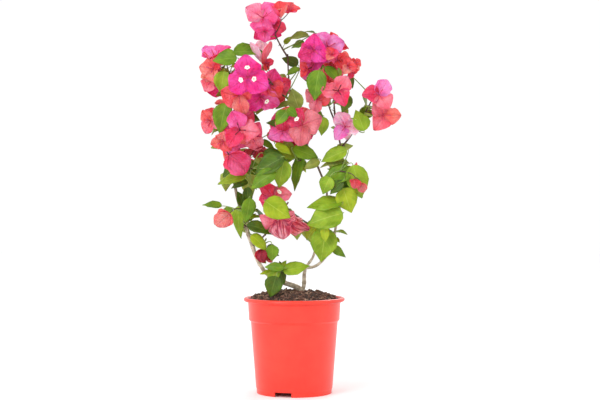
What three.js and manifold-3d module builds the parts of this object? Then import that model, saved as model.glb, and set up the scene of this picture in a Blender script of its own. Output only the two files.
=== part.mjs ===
// A bougainvillea bush in a round red nursery pot, about 0.66 m tall.
// Millimetres, +Z up. The origin is on the ground under the pot's axis, and the plant's front faces -Y.
//
// The woody limbs rise from one foot in the potting mix. Each mass of leaves and blooms is one shoot:
// it leaves a limb, and its leaves and three-bracted blooms spread evenly round its tip by a seeded rule.

import * as THREE from "three";
import { mergeVertices } from "three/addons/utils/BufferGeometryUtils.js";
import Module from "manifold-3d";

const wasm = await Module();
wasm.setup();

// Pot
const potHeight = 160;
const rimRadius = 85;
const throatRadius = 77.6;
const lipDepth = 8;
const collarHeight = 121;
const collarRadius = 76;
const bodyTopRadius = 73;
const bodyBottomRadius = 64.2;
const footRadius = 62.8;
const footHeight = 8;
const potWall = 1.6;
const notchCount = 3;
const notchWidth = 28;
const notchHeight = 7.5;
const notchDepth = 12;
const notchTurn = THREE.MathUtils.degToRad(-107.2);
const potSegments = 32;

// Potting mix
const soilHeight = 169;
const soilEdgeHeight = 156;
const soilFlatRadius = 26;

// What touching pieces keep between them
const clearance = 0.3;

// Leaves and bracts: length, then width and thickness as shares of the length, where along it they are
// widest, how far they bend, as an angle from base to tip, and how far their edges fold up
const leafLength = 43;
const leafForm = { width: 0.72, widest: 0.36, fold: 0.22 };
const bractLength = 35;
const bractForm = { width: 0.86, widest: 0.42, fold: 0.3, bend: 0.7 };
const bladeThickness = 0.024;
const bractsInBloom = 3;
const narrowOpening = THREE.MathUtils.degToRad(44);
const wideOpening = THREE.MathUtils.degToRad(76);
const heartRadius = 2.6;
const twigRadius = 0.9;
const shortestTwig = 7;
const longestTwig = 46;

// The rule that spreads leaves and blooms
const goldenTurn = Math.PI * (3 - Math.sqrt(5));
const triesEach = 60;
const bladeToLimb = 4.5;
const twigToLimb = 1.6;
const bladeToBlade = 5;
const bladeToTwig = 3;
const betweenMasses = 0.6;
const tipReach = 1.2;
const aboveSoil = 3;

const up = new THREE.Vector3(0, 0, 1);

const redPlastic = new THREE.MeshStandardMaterial({ name: "red_plastic", color: 0xf4483f, roughness: 0.35 });
const darkSoil = new THREE.MeshStandardMaterial({ name: "potting_mix", color: 0x33241d, roughness: 0.95 });
const greyBark = new THREE.MeshStandardMaterial({ name: "bark", color: 0x8f7f6b, roughness: 0.85 });
const greenLeaf = new THREE.MeshStandardMaterial({ name: "leaf", color: 0x5c9a2e, roughness: 0.5 });
const pinkBract = new THREE.MeshStandardMaterial({ name: "bract", color: 0xee2f72, roughness: 0.6 });

// Woody limbs, each a smooth taper through a few points, from its foot to its tip.
const limbs = {
  trunk: {
    through: [[15, 0, 166], [5, 0, 176], [-14, -2, 183], [-34, -4, 191], [-50, -6, 203]],
    radii: [4.6, 3.5],
    flare: 3.2,
  },
  left_stem_lower: {
    through: [[-50, -6, 203], [-61, -8, 222], [-72, -10, 252], [-85, -12, 288]],
    radii: [3.4, 2.9],
  },
  left_stem_upper: {
    through: [[-85, -12, 288], [-98, -8, 340], [-105, 0, 388], [-98, 4, 440], [-87, 2, 470]],
    radii: [2.8, 1.7],
  },
  upright_stem: {
    through: [[14, 0, 172], [16.5, 1, 182], [16.6, 2, 196], [18.5, 3, 209]],
    radii: [3.3, 2.9],
  },
  right_stem_lower: {
    through: [[18.5, 3, 209], [34, 2, 211], [48, 0, 222], [62, -2, 245], [74, -4, 298]],
    radii: [2.4, 2.1],
  },
  right_stem_upper: {
    through: [[74, -4, 298], [81, 2, 340], [81, 6, 388], [76, 6, 424], [67, 2, 470]],
    radii: [2, 1.3],
  },
  centre_stem_lower: {
    through: [[18.5, 3, 209], [32, 8, 228], [41, 14, 264], [53, 16, 312], [54, 12, 340], [40, 8, 378]],
    radii: [2.1, 1.7],
  },
  centre_stem_upper: {
    through: [[40, 8, 378], [18, 6, 423], [0, 4, 470], [-9, 2, 524], [-11, 0, 568]],
    radii: [1.6, 1.1],
  },
};

// Masses of foliage. Each leaves its limb at a share of the limb's length and spreads its leaves and blooms
// round its heart, as far as its reach along X, Y and Z. A size over 1 makes its leaves larger.
const masses = {
  crown_tip: {
    limb: "centre_stem_upper", at: 0.97, leaves: 1, blooms: 4, seed: 3,
    heart: [-42, -10, 618], reach: [50, 52, 46],
  },
  upper_left: {
    limb: "left_stem_upper", at: 0.98, leaves: 5, blooms: 6, seed: 5,
    heart: [-112, 2, 541], reach: [60, 62, 52],
  },
  upper_middle_front: {
    limb: "centre_stem_upper", at: 0.6, leaves: 4, blooms: 6, seed: 4,
    heart: [-38, -56, 512], reach: [56, 54, 54],
  },
  upper_middle_back: {
    limb: "centre_stem_upper", at: 0.7, leaves: 5, blooms: 5, seed: 6,
    heart: [-36, 58, 530], reach: [66, 54, 56],
  },
  upper_right: {
    limb: "centre_stem_upper", at: 0.84, leaves: 4, blooms: 6, seed: 9,
    heart: [60, -16, 558], reach: [56, 58, 48],
  },
  upper_right_front: {
    limb: "right_stem_upper", at: 0.9, leaves: 6, blooms: 3, seed: 7,
    heart: [50, -58, 496], reach: [54, 50, 50],
  },
  upper_right_back: {
    limb: "right_stem_upper", at: 0.95, leaves: 5, blooms: 3, seed: 13,
    heart: [66, 54, 520], reach: [54, 52, 56],
  },
  right_outlier: {
    limb: "right_stem_upper", at: 0.66, leaves: 2, blooms: 4, seed: 1,
    heart: [126, -24, 480], reach: [44, 50, 58],
  },
  middle_left: {
    limb: "left_stem_upper", at: 0.76, leaves: 6, blooms: 6, seed: 12,
    heart: [-108, -10, 448], reach: [62, 64, 52],
  },
  middle_right: {
    limb: "right_stem_upper", at: 0.78, leaves: 5, blooms: 2, seed: 26,
    heart: [84, 2, 444], reach: [46, 56, 44],
  },
  middle_centre: {
    limb: "centre_stem_upper", at: 0.4, leaves: 5, blooms: 4, seed: 11,
    heart: [-4, -56, 446], reach: [58, 52, 50],
  },
  middle_back: {
    limb: "centre_stem_upper", at: 0.5, leaves: 5, blooms: 3, seed: 18,
    heart: [-4, 62, 444], reach: [62, 50, 50],
  },
  leafy_left_front: {
    limb: "left_stem_upper", at: 0.46, leaves: 11, blooms: 2, seed: 14,
    heart: [-72, -46, 370], reach: [60, 54, 48],
  },
  leafy_left_back: {
    limb: "left_stem_upper", at: 0.55, leaves: 8, blooms: 3, seed: 16,
    heart: [-84, 56, 388], reach: [62, 54, 62],
  },
  leafy_centre: {
    limb: "centre_stem_upper", at: 0.14, leaves: 6, blooms: 0, seed: 17,
    heart: [8, -22, 384], reach: [48, 52, 42],
  },
  leafy_right_front: {
    limb: "right_stem_upper", at: 0.34, leaves: 10, blooms: 1, seed: 2,
    heart: [76, -42, 364], reach: [48, 52, 58],
  },
  leafy_right_back: {
    limb: "right_stem_upper", at: 0.42, leaves: 7, blooms: 2, seed: 19,
    heart: [70, 58, 396], reach: [56, 52, 62],
  },
  low_right: {
    limb: "right_stem_lower", at: 0.8, leaves: 8, blooms: 0, seed: 20, size: 1.1,
    heart: [54, -40, 280], reach: [44, 50, 58],
  },
  low_left: {
    limb: "left_stem_lower", at: 0.9, leaves: 8, blooms: 1, seed: 21,
    heart: [-84, -24, 298], reach: [54, 56, 50],
  },
  low_centre: {
    limb: "left_stem_lower", at: 0.6, leaves: 6, blooms: 4, seed: 22,
    heart: [-16, -50, 306], reach: [54, 52, 54],
  },
  low_back: {
    limb: "centre_stem_lower", at: 0.45, leaves: 7, blooms: 2, seed: 23,
    heart: [-10, 64, 304], reach: [64, 50, 58],
  },
  foot_left: {
    limb: "left_stem_lower", at: 0.3, leaves: 5, blooms: 1, seed: 24,
    heart: [-50, -20, 242], reach: [42, 50, 38],
  },
  foot_front: {
    limb: "trunk", at: 0.6, leaves: 5, blooms: 0, seed: 25,
    heart: [-22, -38, 204], reach: [46, 46, 36],
  },
};

// A random number between 0 and 1 at each call, the same for the same seed.
function seeded(seed) {
  let state = seed * 7919 + 17;
  return () => {
    state = (state * 48271) % 2147483647;
    return state / 2147483647;
  };
}

const vector = (xyz) => new THREE.Vector3(...xyz);
const limbCurve = (limb) => new THREE.CatmullRomCurve3(limb.through.map(vector), false, "catmullrom", 0.5);

// A closed three.js geometry as a solid that can be joined and cut.
function solidFrom(geometry) {
  const bare = geometry.index ? geometry.clone() : mergeVertices(geometry.clone());
  bare.deleteAttribute("normal");
  bare.deleteAttribute("uv");
  const merged = mergeVertices(bare, 1e-4);
  const corners = [];
  for (let i = 0; i < merged.index.count; i += 3) {
    const face = [0, 1, 2].map((k) => merged.index.getX(i + k));
    if (new Set(face).size === 3) corners.push(...face);
  }
  return new wasm.Manifold(
    new wasm.Mesh({
      numProp: 3,
      vertProperties: merged.attributes.position.array,
      triVerts: new Uint32Array(corners),
    }),
  );
}

// A solid back as a geometry with flat faces.
function geometryFrom(solid) {
  const mesh = solid.getMesh();
  const positions = new Float32Array(mesh.numVert * 3);
  for (let i = 0; i < mesh.numVert; i++) {
    positions.set(mesh.vertProperties.subarray(i * mesh.numProp, i * mesh.numProp + 3), i * 3);
  }
  const geometry = new THREE.BufferGeometry()
    .setAttribute("position", new THREE.BufferAttribute(positions, 3))
    .setIndex(new THREE.BufferAttribute(new Uint32Array(mesh.triVerts), 1))
    .toNonIndexed();
  geometry.computeVertexNormals();
  return geometry;
}

// A cylinder bent along a curve, its radius given at each share of the length.
function tube(curve, radiusAt, sides, steps) {
  const geometry = new THREE.CylinderGeometry(1, 1, 1, sides, steps);
  const { normals, binormals } = curve.computeFrenetFrames(steps, false);
  const place = geometry.attributes.position;
  for (let i = 0; i < place.count; i++) {
    const ring = Math.round((place.getY(i) + 0.5) * steps);
    const radius = radiusAt(ring / steps);
    const point = curve
      .getPointAt(ring / steps)
      .addScaledVector(binormals[ring], place.getX(i) * radius)
      .addScaledVector(normals[ring], place.getZ(i) * radius);
    place.setXYZ(i, point.x, point.y, point.z);
  }
  return solidFrom(geometry);
}

// Radius of a limb at a share of its length: an even taper, wider at a flared foot.
function limbRadius(limb, share) {
  const [base, tip] = limb.radii;
  return base + (tip - base) * share + (limb.flare ?? 0) * Math.max(0, 1 - share / 0.16) ** 2;
}

// A limb, made fatter and longer by an extra where it cuts its neighbours.
function limbSolid(limb, extra = 0) {
  const curve = limbCurve(limb);
  if (extra > 0) {
    const ends = [curve.getTangent(0).multiplyScalar(-extra), curve.getTangent(1).multiplyScalar(extra)];
    curve.points[0].add(ends[0]);
    curve.points[curve.points.length - 1].add(ends[1]);
  }
  return tube(curve, (share) => limbRadius(limb, share) + extra, 6, 2 * (limb.through.length - 1));
}

// The pot: a thin wall with a rolled lip, a collar and a shoulder, standing on a ring under a raised floor.
function potSolid() {
  const floor = footHeight + potWall;
  const profile = [
    [0, footHeight],
    [footRadius - potWall - 0.4, footHeight],
    [footRadius - potWall, 0],
    [footRadius, 0],
    [footRadius + 0.4, footHeight - 1],
    [bodyBottomRadius, footHeight + 1.5],
    [bodyTopRadius, collarHeight - 1.5],
    [collarRadius, collarHeight + 1.5],
    [throatRadius, potHeight - lipDepth],
    [rimRadius - 1.5, potHeight - lipDepth + 2],
    [rimRadius, potHeight - lipDepth + 4],
    [rimRadius - 1, potHeight - 1.5],
    [rimRadius - 4, potHeight],
    [throatRadius, potHeight - 1.5],
    [throatRadius - potWall, potHeight - lipDepth],
    [collarRadius - potWall, collarHeight + 1],
    [bodyTopRadius - potWall, collarHeight - 2.5],
    [bodyBottomRadius - potWall, floor],
    [0, floor],
  ];
  let pot = solidFrom(turned(profile));
  for (let k = 0; k < notchCount; k++) {
    const notch = new THREE.BoxGeometry(notchDepth, notchWidth, 2 * notchHeight)
      .translate(footRadius, 0, 0)
      .rotateZ(notchTurn + (k * 2 * Math.PI) / notchCount);
    pot = pot.subtract(solidFrom(notch));
  }
  return pot;
}

// A profile of [radius, height] pairs turned about the Z axis.
function turned(profile) {
  const points = profile.map(([radius, height]) => new THREE.Vector2(radius, height));
  return new THREE.LatheGeometry(points, potSegments).rotateX(Math.PI / 2);
}

// The potting mix fills the pot and heaps up a little in the middle, flat where the stems rise.
function soilSolid() {
  const floor = footHeight + potWall + clearance;
  const wallGap = potWall + clearance;
  const profile = [
    [0, floor],
    [bodyBottomRadius - wallGap - 0.1, floor],
    [bodyTopRadius - wallGap - 0.4, collarHeight - 2.5],
    [collarRadius - wallGap - 0.4, collarHeight + 1],
    [throatRadius - wallGap - 0.4, potHeight - lipDepth],
    [throatRadius - wallGap - 0.3, soilEdgeHeight],
    [64, soilEdgeHeight + 6],
    [46, soilHeight - 2.5],
    [soilFlatRadius, soilHeight],
    [0, soilHeight],
  ];
  return solidFrom(turned(profile));
}

// The direction away from the middle of the crown, towards its front or its back.
function outwardAt(point) {
  const side = point.y < 0 ? -30 : 30;
  return new THREE.Vector3(0.5 * point.x, point.y + side, 0).normalize();
}

// A blade's axes: along it, up from its face, and across it.
function bladeAxes(along, face) {
  const t = along.clone().normalize();
  const n = face.clone().addScaledVector(t, -face.dot(t)).normalize();
  return { along: t, face: n, across: new THREE.Vector3().crossVectors(n, t) };
}

// Half the width of a blade at a share of its length, as a share of its widest half. It is round below
// and pointed above.
function halfWidth(share, widest) {
  const turn = Math.log(0.5) / Math.log(widest);
  return Math.sin(Math.PI * share ** turn) ** 0.8;
}

// A point on a blade that bends down towards its tip and folds up at its edges.
function bladePoint(blade, share, side, lift = 0) {
  const { bend, length } = blade;
  const start = 0.25;
  const run = (length * (Math.sin(bend * (share - start)) + Math.sin(bend * start))) / bend;
  const drop = (length * (Math.cos(bend * (share - start)) - Math.cos(bend * start))) / bend;
  const half = (halfWidth(share, blade.widest) * length * blade.width) / 2;
  return blade.base
    .clone()
    .addScaledVector(blade.axes.along, run)
    .addScaledVector(blade.axes.face, drop + blade.fold * half * side * side + lift)
    .addScaledVector(blade.axes.across, side * half);
}

// The outline points of a leaf past its base, in order round it.
function leafOutline(blade) {
  const low = blade.widest * 0.7;
  const high = blade.widest + 0.36;
  return [[low, 1], [high, 1], [1, 0], [high, -1], [low, -1]].map(([share, side]) =>
    bladePoint(blade, share, side),
  );
}

// The faces of a three-sided stalk, from a ring of three corners back to the same ring at its foot.
// Seen from the stalk's foot the corners run with the clock.
function stalkFaces(ring, footRing) {
  const faces = [];
  for (let k = 0; k < 3; k++) {
    const next = (k + 1) % 3;
    faces.push(ring[next], ring[k], footRing[k], ring[next], footRing[k], footRing[next]);
  }
  faces.push(footRing[2], footRing[1], footRing[0]);
  return faces;
}

// A closed shell from its corners and its faces, three corner numbers each.
function closedShell(points, faces) {
  return solidFrom(new THREE.BufferGeometry().setFromPoints(points).setIndex(faces));
}

// A leaf on its stalk as one thin closed shell: the outline and the stalk's end are joined to a point above
// and a point below the blade's middle.
function leafSolid(item) {
  const blade = item.blades[0];
  const { along, across } = blade.axes;
  const middle = along.clone().add(item.direction).normalize();
  const u = across.clone().addScaledVector(middle, -across.dot(middle)).normalize();
  const w = new THREE.Vector3().crossVectors(middle, u);
  const ring = [[0.87, 0.5], [-0.87, 0.5], [0, -1]].map(([a, b]) =>
    u.clone().multiplyScalar(a * twigRadius).addScaledVector(w, b * twigRadius),
  );
  const outline = [ring[0].clone().add(item.joint), ...leafOutline(blade), ring[1].clone().add(item.joint)];
  const last = outline.length - 1;
  const below = last + 1;
  const footRing = [last + 2, last + 3, last + 4];
  const top = last + 5;
  const bottom = last + 6;
  const thick = (blade.length * bladeThickness) / 2;
  const share = blade.widest + 0.1;
  const points = [
    ...outline,
    ring[2].clone().add(item.joint),
    ...ring.map((offset) => offset.clone().add(item.foot)),
    bladePoint(blade, share, 0, thick),
    bladePoint(blade, share, 0, -thick),
  ];
  const faces = [0, last, top, last, below, bottom, below, 0, bottom];
  for (let i = 0; i < last; i++) faces.push(i + 1, i, top, i, i + 1, bottom);
  return closedShell(points, [...faces, ...stalkFaces([0, last, below], footRing)]);
}

// A bloom on its stalk as one thin closed shell: its bracts' outlines in turn, with a hollow between each
// two, joined to a point in its heart and to the end of its stalk.
function bloomSolid(item) {
  const { axis, joint, foot, blades } = item;
  const points = [];
  const faces = [];
  const perBract = 6;
  const count = perBract * bractsInBloom;
  const heart = count;
  const ring = [count + 1, count + 2, count + 3];
  const footRing = [count + 4, count + 5, count + 6];
  blades.forEach((blade, k) => {
    const next = blades[(k + 1) % bractsInBloom];
    for (const [share, side] of [[0.36, -1], [0.74, -1], [1, 0], [0.74, 1], [0.36, 1]]) {
      points.push(bladePoint(blade, share, side));
    }
    const between = blade.axes.along.clone().add(next.axes.along).normalize();
    points.push(joint.clone().addScaledVector(between, heartRadius));
    const hollow = perBract * k + perBract - 1;
    for (let i = 0; i < perBract; i++) {
      const here = (perBract * k + i - 1 + count) % count;
      const after = (here + 1) % count;
      faces.push(here, after, heart, after, here, ring[k]);
    }
    faces.push(hollow, ring[k], ring[(k + 1) % 3]);
  });
  points.push(joint.clone().addScaledVector(axis, 0.3 * heartRadius));
  const offsets = blades.map(({ axes }) => {
    const spoke = axes.along.clone().addScaledVector(axis, -axes.along.dot(axis)).normalize();
    return spoke.multiplyScalar(twigRadius);
  });
  for (const offset of offsets) points.push(joint.clone().add(offset).addScaledVector(axis, -heartRadius));
  for (const offset of offsets) points.push(foot.clone().add(offset));
  return closedShell(points, [...faces, ...stalkFaces(ring, footRing)]);
}

// A leaf hangs down and away from the crown's middle, its face up and outwards.
function leafBlade(joint, direction, outward, length, random) {
  const sway = new THREE.Vector3(random() - 0.5, random() - 0.5, random() - 0.5);
  const along = direction.clone().addScaledVector(outward, 0.3);
  along.addScaledVector(up, -0.85).addScaledVector(sway, 0.5);
  const face = up.clone().multiplyScalar(0.5).addScaledVector(outward, 0.9).addScaledVector(sway, 0.7);
  const bend = 0.5 + 0.5 * random();
  return { base: joint, axes: bladeAxes(along, face), length, bend, ...leafForm };
}

// The three bracts of a bloom, set round its axis and bending outwards.
function bloomBlades(centre, axis, length, random) {
  const turn = random() * 2 * Math.PI;
  const opening = narrowOpening + (wideOpening - narrowOpening) * random();
  const side = new THREE.Vector3(0.31, 0.17, 0.93).cross(axis).normalize();
  const other = new THREE.Vector3().crossVectors(axis, side);
  const blades = [];
  for (let k = 0; k < bractsInBloom; k++) {
    const angle = turn + (k * 2 * Math.PI) / bractsInBloom;
    const spoke = side.clone().multiplyScalar(Math.cos(angle)).addScaledVector(other, Math.sin(angle));
    const along = axis.clone().multiplyScalar(Math.cos(opening)).addScaledVector(spoke, Math.sin(opening));
    const face = axis.clone().multiplyScalar(Math.sin(opening)).addScaledVector(spoke, -Math.cos(opening));
    blades.push({ base: centre, axes: bladeAxes(along, face), length, ...bractForm });
  }
  return blades;
}

// The curve of a mass's own stem, from inside its limb to a little past its heart.
function shootCurve(mass) {
  const root = limbCurve(limbs[mass.limb]).getPoint(mass.at);
  const heart = vector(mass.heart);
  const tip = heart.clone().lerp(root, -0.12).addScaledVector(up, 6);
  const bow = root.clone().lerp(heart, 0.5).addScaledVector(up, -0.12 * root.distanceTo(heart));
  return new THREE.QuadraticBezierCurve3(root, bow, tip);
}

const shootRadius = (share) => 1.5 - 0.5 * share;

// How far it is from a point inside a mass's reach to its edge, in a direction.
function distanceToReach(mass, from, direction) {
  const scale = (v) => new THREE.Vector3(v.x / mass.reach[0], v.y / mass.reach[1], v.z / mass.reach[2]);
  const p = scale(from.clone().sub(vector(mass.heart)));
  const d = scale(direction);
  const a = d.dot(d);
  const b = p.dot(d);
  const c = p.dot(p) - 1;
  return (-b + Math.sqrt(Math.max(0, b * b - a * c))) / a;
}

// A mass's own space: inside its reach, and on its side of the plane between it and each other mass.
function insideOwnSpace(name, point) {
  const mass = masses[name];
  const heart = vector(mass.heart);
  const offset = point.clone().sub(heart);
  const share = Math.hypot(offset.x / mass.reach[0], offset.y / mass.reach[1], offset.z / mass.reach[2]);
  if (share > tipReach) return false;
  if (point.z < soilHeight + aboveSoil) return false;
  const power = (other) => point.distanceToSquared(vector(other.heart)) - meanReach(other) ** 2;
  const own = power(mass);
  return Object.values(masses).every((other) => {
    if (other === mass) return true;
    return (power(other) - own) / (2 * heart.distanceTo(vector(other.heart))) > betweenMasses;
  });
}
const meanReach = (mass) => (mass.reach[0] + mass.reach[1] + mass.reach[2]) / 3;

// Limbs and shoots as rows of points with radii, to keep leaves off them.
function obstacleLine(curve, radiusAt, steps) {
  const line = [];
  for (let i = 0; i <= steps; i++) {
    line.push({ point: curve.getPoint(i / steps), radius: radiusAt(i / steps) });
  }
  return line;
}

// The least distance from a point to a line of points, less the line's own radius.
function gapToLine(point, line) {
  let least = Infinity;
  const segment = new THREE.Line3();
  const nearest = new THREE.Vector3();
  for (let i = 0; i + 1 < line.length; i++) {
    segment.set(line[i].point, line[i + 1].point);
    segment.closestPointToPoint(point, true, nearest);
    least = Math.min(least, nearest.distanceTo(point) - Math.max(line[i].radius, line[i + 1].radius));
  }
  return least;
}

const limbSteps = 24;
const shootSteps = 10;
const limbLines = Object.values(limbs).map((limb) =>
  obstacleLine(limbCurve(limb), (share) => limbRadius(limb, share), limbSteps),
);
const shootLines = {};
for (const [name, mass] of Object.entries(masses)) {
  shootLines[name] = obstacleLine(shootCurve(mass), shootRadius, shootSteps);
}

const clearOfLines = (point, lines, gap) => lines.every((line) => gapToLine(point, line) > gap);

// The points of a blade that have to keep clear of limbs and of other masses.
function bladeSamples(blade) {
  const samples = [blade.base, ...leafOutline(blade)];
  for (const share of [0.3, 0.55, 0.8]) {
    for (const side of [-0.5, 0, 0.5]) samples.push(bladePoint(blade, share, side));
  }
  return samples;
}

function leastDistance(some, others) {
  let least = Infinity;
  for (const a of some) for (const b of others) least = Math.min(least, a.distanceTo(b));
  return least;
}

// Where one mass puts its blooms, near its tip, and then its leaves. Each is tried in several ways, and
// the way that stands furthest from its neighbours is kept. One that fits nowhere is left out.
function spread(name) {
  const mass = masses[name];
  const random = seeded(mass.seed);
  const curve = shootCurve(mass);
  const ownLine = shootLines[name];
  const otherLines = [...limbLines, ...Object.values(shootLines).filter((line) => line !== ownLine)];
  const placed = [];
  for (const isBloom of [true, false]) {
    const count = isBloom ? mass.blooms : mass.leaves;
    const phase = random() * 2 * Math.PI;
    for (let i = 0; i < count; i++) {
      const even = evenDirection(i, count, phase);
      let best = null;
      for (let attempt = 0; attempt < triesEach; attempt++) {
        const item = candidate(mass, curve, isBloom, even, attempt / triesEach, (i + 0.5) / count, random);
        const { samples, twig } = item;
        const fits =
          [...samples, ...twig].every((point) => insideOwnSpace(name, point)) &&
          samples.every((point) => gapToLine(point, ownLine) > bladeToTwig) &&
          samples.every((point) => clearOfLines(point, otherLines, bladeToLimb)) &&
          twig.every((point) => clearOfLines(point, otherLines, twigToLimb));
        if (!fits) continue;
        item.space = Math.min(...placed.map((other) => leastDistance(other.samples, samples)), 30);
        const crosses =
          item.space < bladeToBlade ||
          placed.some((other) => leastDistance(other.twig, samples) < bladeToTwig) ||
          placed.some((other) => leastDistance(other.samples, twig) < bladeToTwig);
        if (!crosses && (!best || item.space > best.space)) best = item;
      }
      if (best) placed.push(best);
    }
  }
  return placed;
}

// Directions spread evenly over a ball, the first nearly straight up.
function evenDirection(i, count, phase) {
  const height = 1 - (2 * i + 1) / count;
  const ring = Math.sqrt(1 - height * height);
  const turn = phase + i * goldenTurn;
  return new THREE.Vector3(ring * Math.cos(turn), ring * Math.sin(turn), height);
}

// One way to set a leaf or a bloom: its foot on the shoot, its joint at the end of its stalk, its blades.
function candidate(mass, curve, isBloom, even, wander, share, random) {
  const sway = new THREE.Vector3(random() - 0.5, random() - 0.5, random() - 0.5);
  const foot = curve.getPoint(isBloom ? 0.98 - 0.25 * share : 0.95 - 0.5 * share);
  const outward = outwardAt(foot);
  const direction = even
    .clone()
    .addScaledVector(outward, 0.35)
    .addScaledVector(sway, 0.5 + 2 * wander)
    .normalize();
  const length = (isBloom ? bractLength : leafLength) * (mass.size ?? 1) * (0.85 + 0.3 * random());
  const room = distanceToReach(mass, foot, direction) - (isBloom ? 0.75 : 0.6) * length;
  const stalk = THREE.MathUtils.clamp(room, shortestTwig, longestTwig) * (0.75 + 0.25 * random());
  const joint = foot.clone().addScaledVector(direction, stalk);
  const axis = direction.clone().addScaledVector(outward, 0.5).addScaledVector(up, 0.25).normalize();
  const blades = isBloom
    ? bloomBlades(joint, axis, length, random)
    : [leafBlade(joint, direction, outward, length, random)];
  const samples = blades.flatMap(bladeSamples);
  const twig = [0.35, 0.7, 1].map((part) => foot.clone().lerp(joint, part));
  return { isBloom, foot, joint, direction, axis, blades, samples, twig };
}

// One mass as a solid: its shoot, its twigs, and the leaves and bracts fused to them.
function massSolid(name, keepOff) {
  const mass = masses[name];
  const pieces = [tube(shootCurve(mass), shootRadius, 4, 4)];
  for (const item of spread(name)) pieces.push(item.isBloom ? bloomSolid(item) : leafSolid(item));
  const joined = wasm.Manifold.union(pieces);
  const cut = keepOff.reduce((solid, other) => solid.subtract(other), joined);
  return cut.decompose().sort((a, b) => b.volume() - a.volume())[0];
}

function meshOf(name, solid, material) {
  const mesh = new THREE.Mesh(geometryFrom(solid), material);
  mesh.name = name;
  return mesh;
}

const plant = new THREE.Group();
plant.name = "potted_bougainvillea";
plant.add(meshOf("pot", potSolid(), redPlastic));
plant.add(meshOf("potting_mix", soilSolid(), darkSoil));

const ground = new THREE.BoxGeometry(200, 200, soilHeight).translate(0, 0, soilHeight / 2 + clearance);
const fattened = [solidFrom(ground)];
for (const [name, limb] of Object.entries(limbs)) {
  const whole = fattened.reduce((solid, other) => solid.subtract(other), limbSolid(limb));
  plant.add(meshOf(name, whole, greyBark));
  fattened.push(limbSolid(limb, clearance));
}
for (const [name, mass] of Object.entries(masses)) {
  plant.add(meshOf(name, massSolid(name, fattened), mass.blooms > mass.leaves ? pinkBract : greenLeaf));
}

export default plant;
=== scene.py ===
import math

import bpy
import numpy as np
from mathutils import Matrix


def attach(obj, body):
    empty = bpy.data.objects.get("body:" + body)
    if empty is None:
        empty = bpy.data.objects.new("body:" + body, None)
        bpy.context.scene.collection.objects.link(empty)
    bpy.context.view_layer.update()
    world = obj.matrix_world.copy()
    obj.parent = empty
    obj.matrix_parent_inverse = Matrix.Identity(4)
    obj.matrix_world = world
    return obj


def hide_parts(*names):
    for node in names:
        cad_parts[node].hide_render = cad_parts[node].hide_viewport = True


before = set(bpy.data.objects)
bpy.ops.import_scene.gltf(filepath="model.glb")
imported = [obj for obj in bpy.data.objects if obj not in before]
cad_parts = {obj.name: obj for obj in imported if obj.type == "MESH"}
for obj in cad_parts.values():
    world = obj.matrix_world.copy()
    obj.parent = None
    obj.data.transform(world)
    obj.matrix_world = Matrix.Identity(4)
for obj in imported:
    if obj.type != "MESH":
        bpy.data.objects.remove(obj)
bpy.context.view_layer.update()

MM = 0.001
GOLDEN_TURN = math.pi * (3 - math.sqrt(5))
UP = np.array([0.0, 0.0, 1.0])

# Camera and lights

# The camera looks level at the plant's front. Its place is in mm, and the scale is how many pixels of the
# picture a thing 1 mm wide takes at a distance of 1 mm.
VIEW_X, VIEW_DISTANCE, VIEW_Z, VIEW_SCALE = 9.6, 2200, 322.7, 1311
PICTURE_WIDTH, PICTURE_HEIGHT, SENSOR_WIDTH = 600, 400, 36

camera = bpy.data.objects.new("camera", bpy.data.cameras.new("camera"))
camera.location = (VIEW_X * MM, -VIEW_DISTANCE * MM, VIEW_Z * MM)
camera.rotation_euler = (math.pi / 2, 0, 0)
camera.data.sensor_width = SENSOR_WIDTH
camera.data.lens = VIEW_SCALE * SENSOR_WIDTH / PICTURE_WIDTH
bpy.context.scene.collection.objects.link(camera)
bpy.context.scene.camera = camera
bpy.context.scene.view_settings.view_transform = "Standard"


def linear(colour):
    """An sRGB hex colour as linear RGBA: a channel c becomes c / 12.92 up to 0.04045, and above that
    (c + 0.055) / 1.055 to the power 2.4."""
    channels = np.array([int(colour[i : i + 2], 16) / 255 for i in (1, 3, 5)])
    low = channels / 12.92
    high = ((channels + 0.055) / 1.055) ** 2.4
    return (*np.where(channels <= 0.04045, low, high), 1.0)


def add_node(tree, kind, inputs=None, **settings):
    """Adds one shader node with its settings and gives its outputs. An input is a number, a colour or
    another node's output."""
    node = tree.nodes.new("ShaderNode" + kind)
    for name, value in settings.items():
        setattr(node, name, value)
    for name, value in (inputs or {}).items():
        if isinstance(value, bpy.types.NodeSocket):
            tree.links.new(value, node.inputs[name])
        else:
            node.inputs[name].default_value = value
    return node.outputs


def new_material(name):
    """A material with an empty node tree, and its tree."""
    material = bpy.data.materials.new(name)
    material.use_nodes = True
    material.node_tree.nodes.clear()
    return material, material.node_tree


def soft_light(name, place, target, size, watts):
    """A square soft box that shines from its place towards its target."""
    light = bpy.data.lights.new(name, "AREA")
    light.size = size
    light.energy = watts
    lamp = bpy.data.objects.new(name, light)
    lamp.location = place
    away = np.array(place) - np.array(target)
    flat = math.hypot(away[0], away[1])
    lamp.rotation_euler = (math.atan2(flat, away[2]), 0, math.atan2(away[0], -away[1]))
    bpy.context.scene.collection.objects.link(lamp)


soft_light("key_light", (-1.7, -2.1, 1.9), (0, 0, 0.35), 1.6, 41)
soft_light("fill_light", (2.2, -1.6, 1.0), (0, 0, 0.3), 1.6, 2)
soft_light("back_light", (0.6, 2.4, 1.8), (0, 0, 0.4), 1.4, 16)

world = bpy.data.worlds.new("white_studio")
world.use_nodes = True
world.node_tree.nodes["Background"].inputs["Color"].default_value = (1, 1, 1, 1)
world.node_tree.nodes["Background"].inputs["Strength"].default_value = 1.02
bpy.context.scene.world = world


# Noise for relief and for crumpled blades

LATTICE_STEPS, SEED_STEP, SINE_SCALE = np.array([127.1, 311.7, 74.7]), 53.3, 43758.5453


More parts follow.
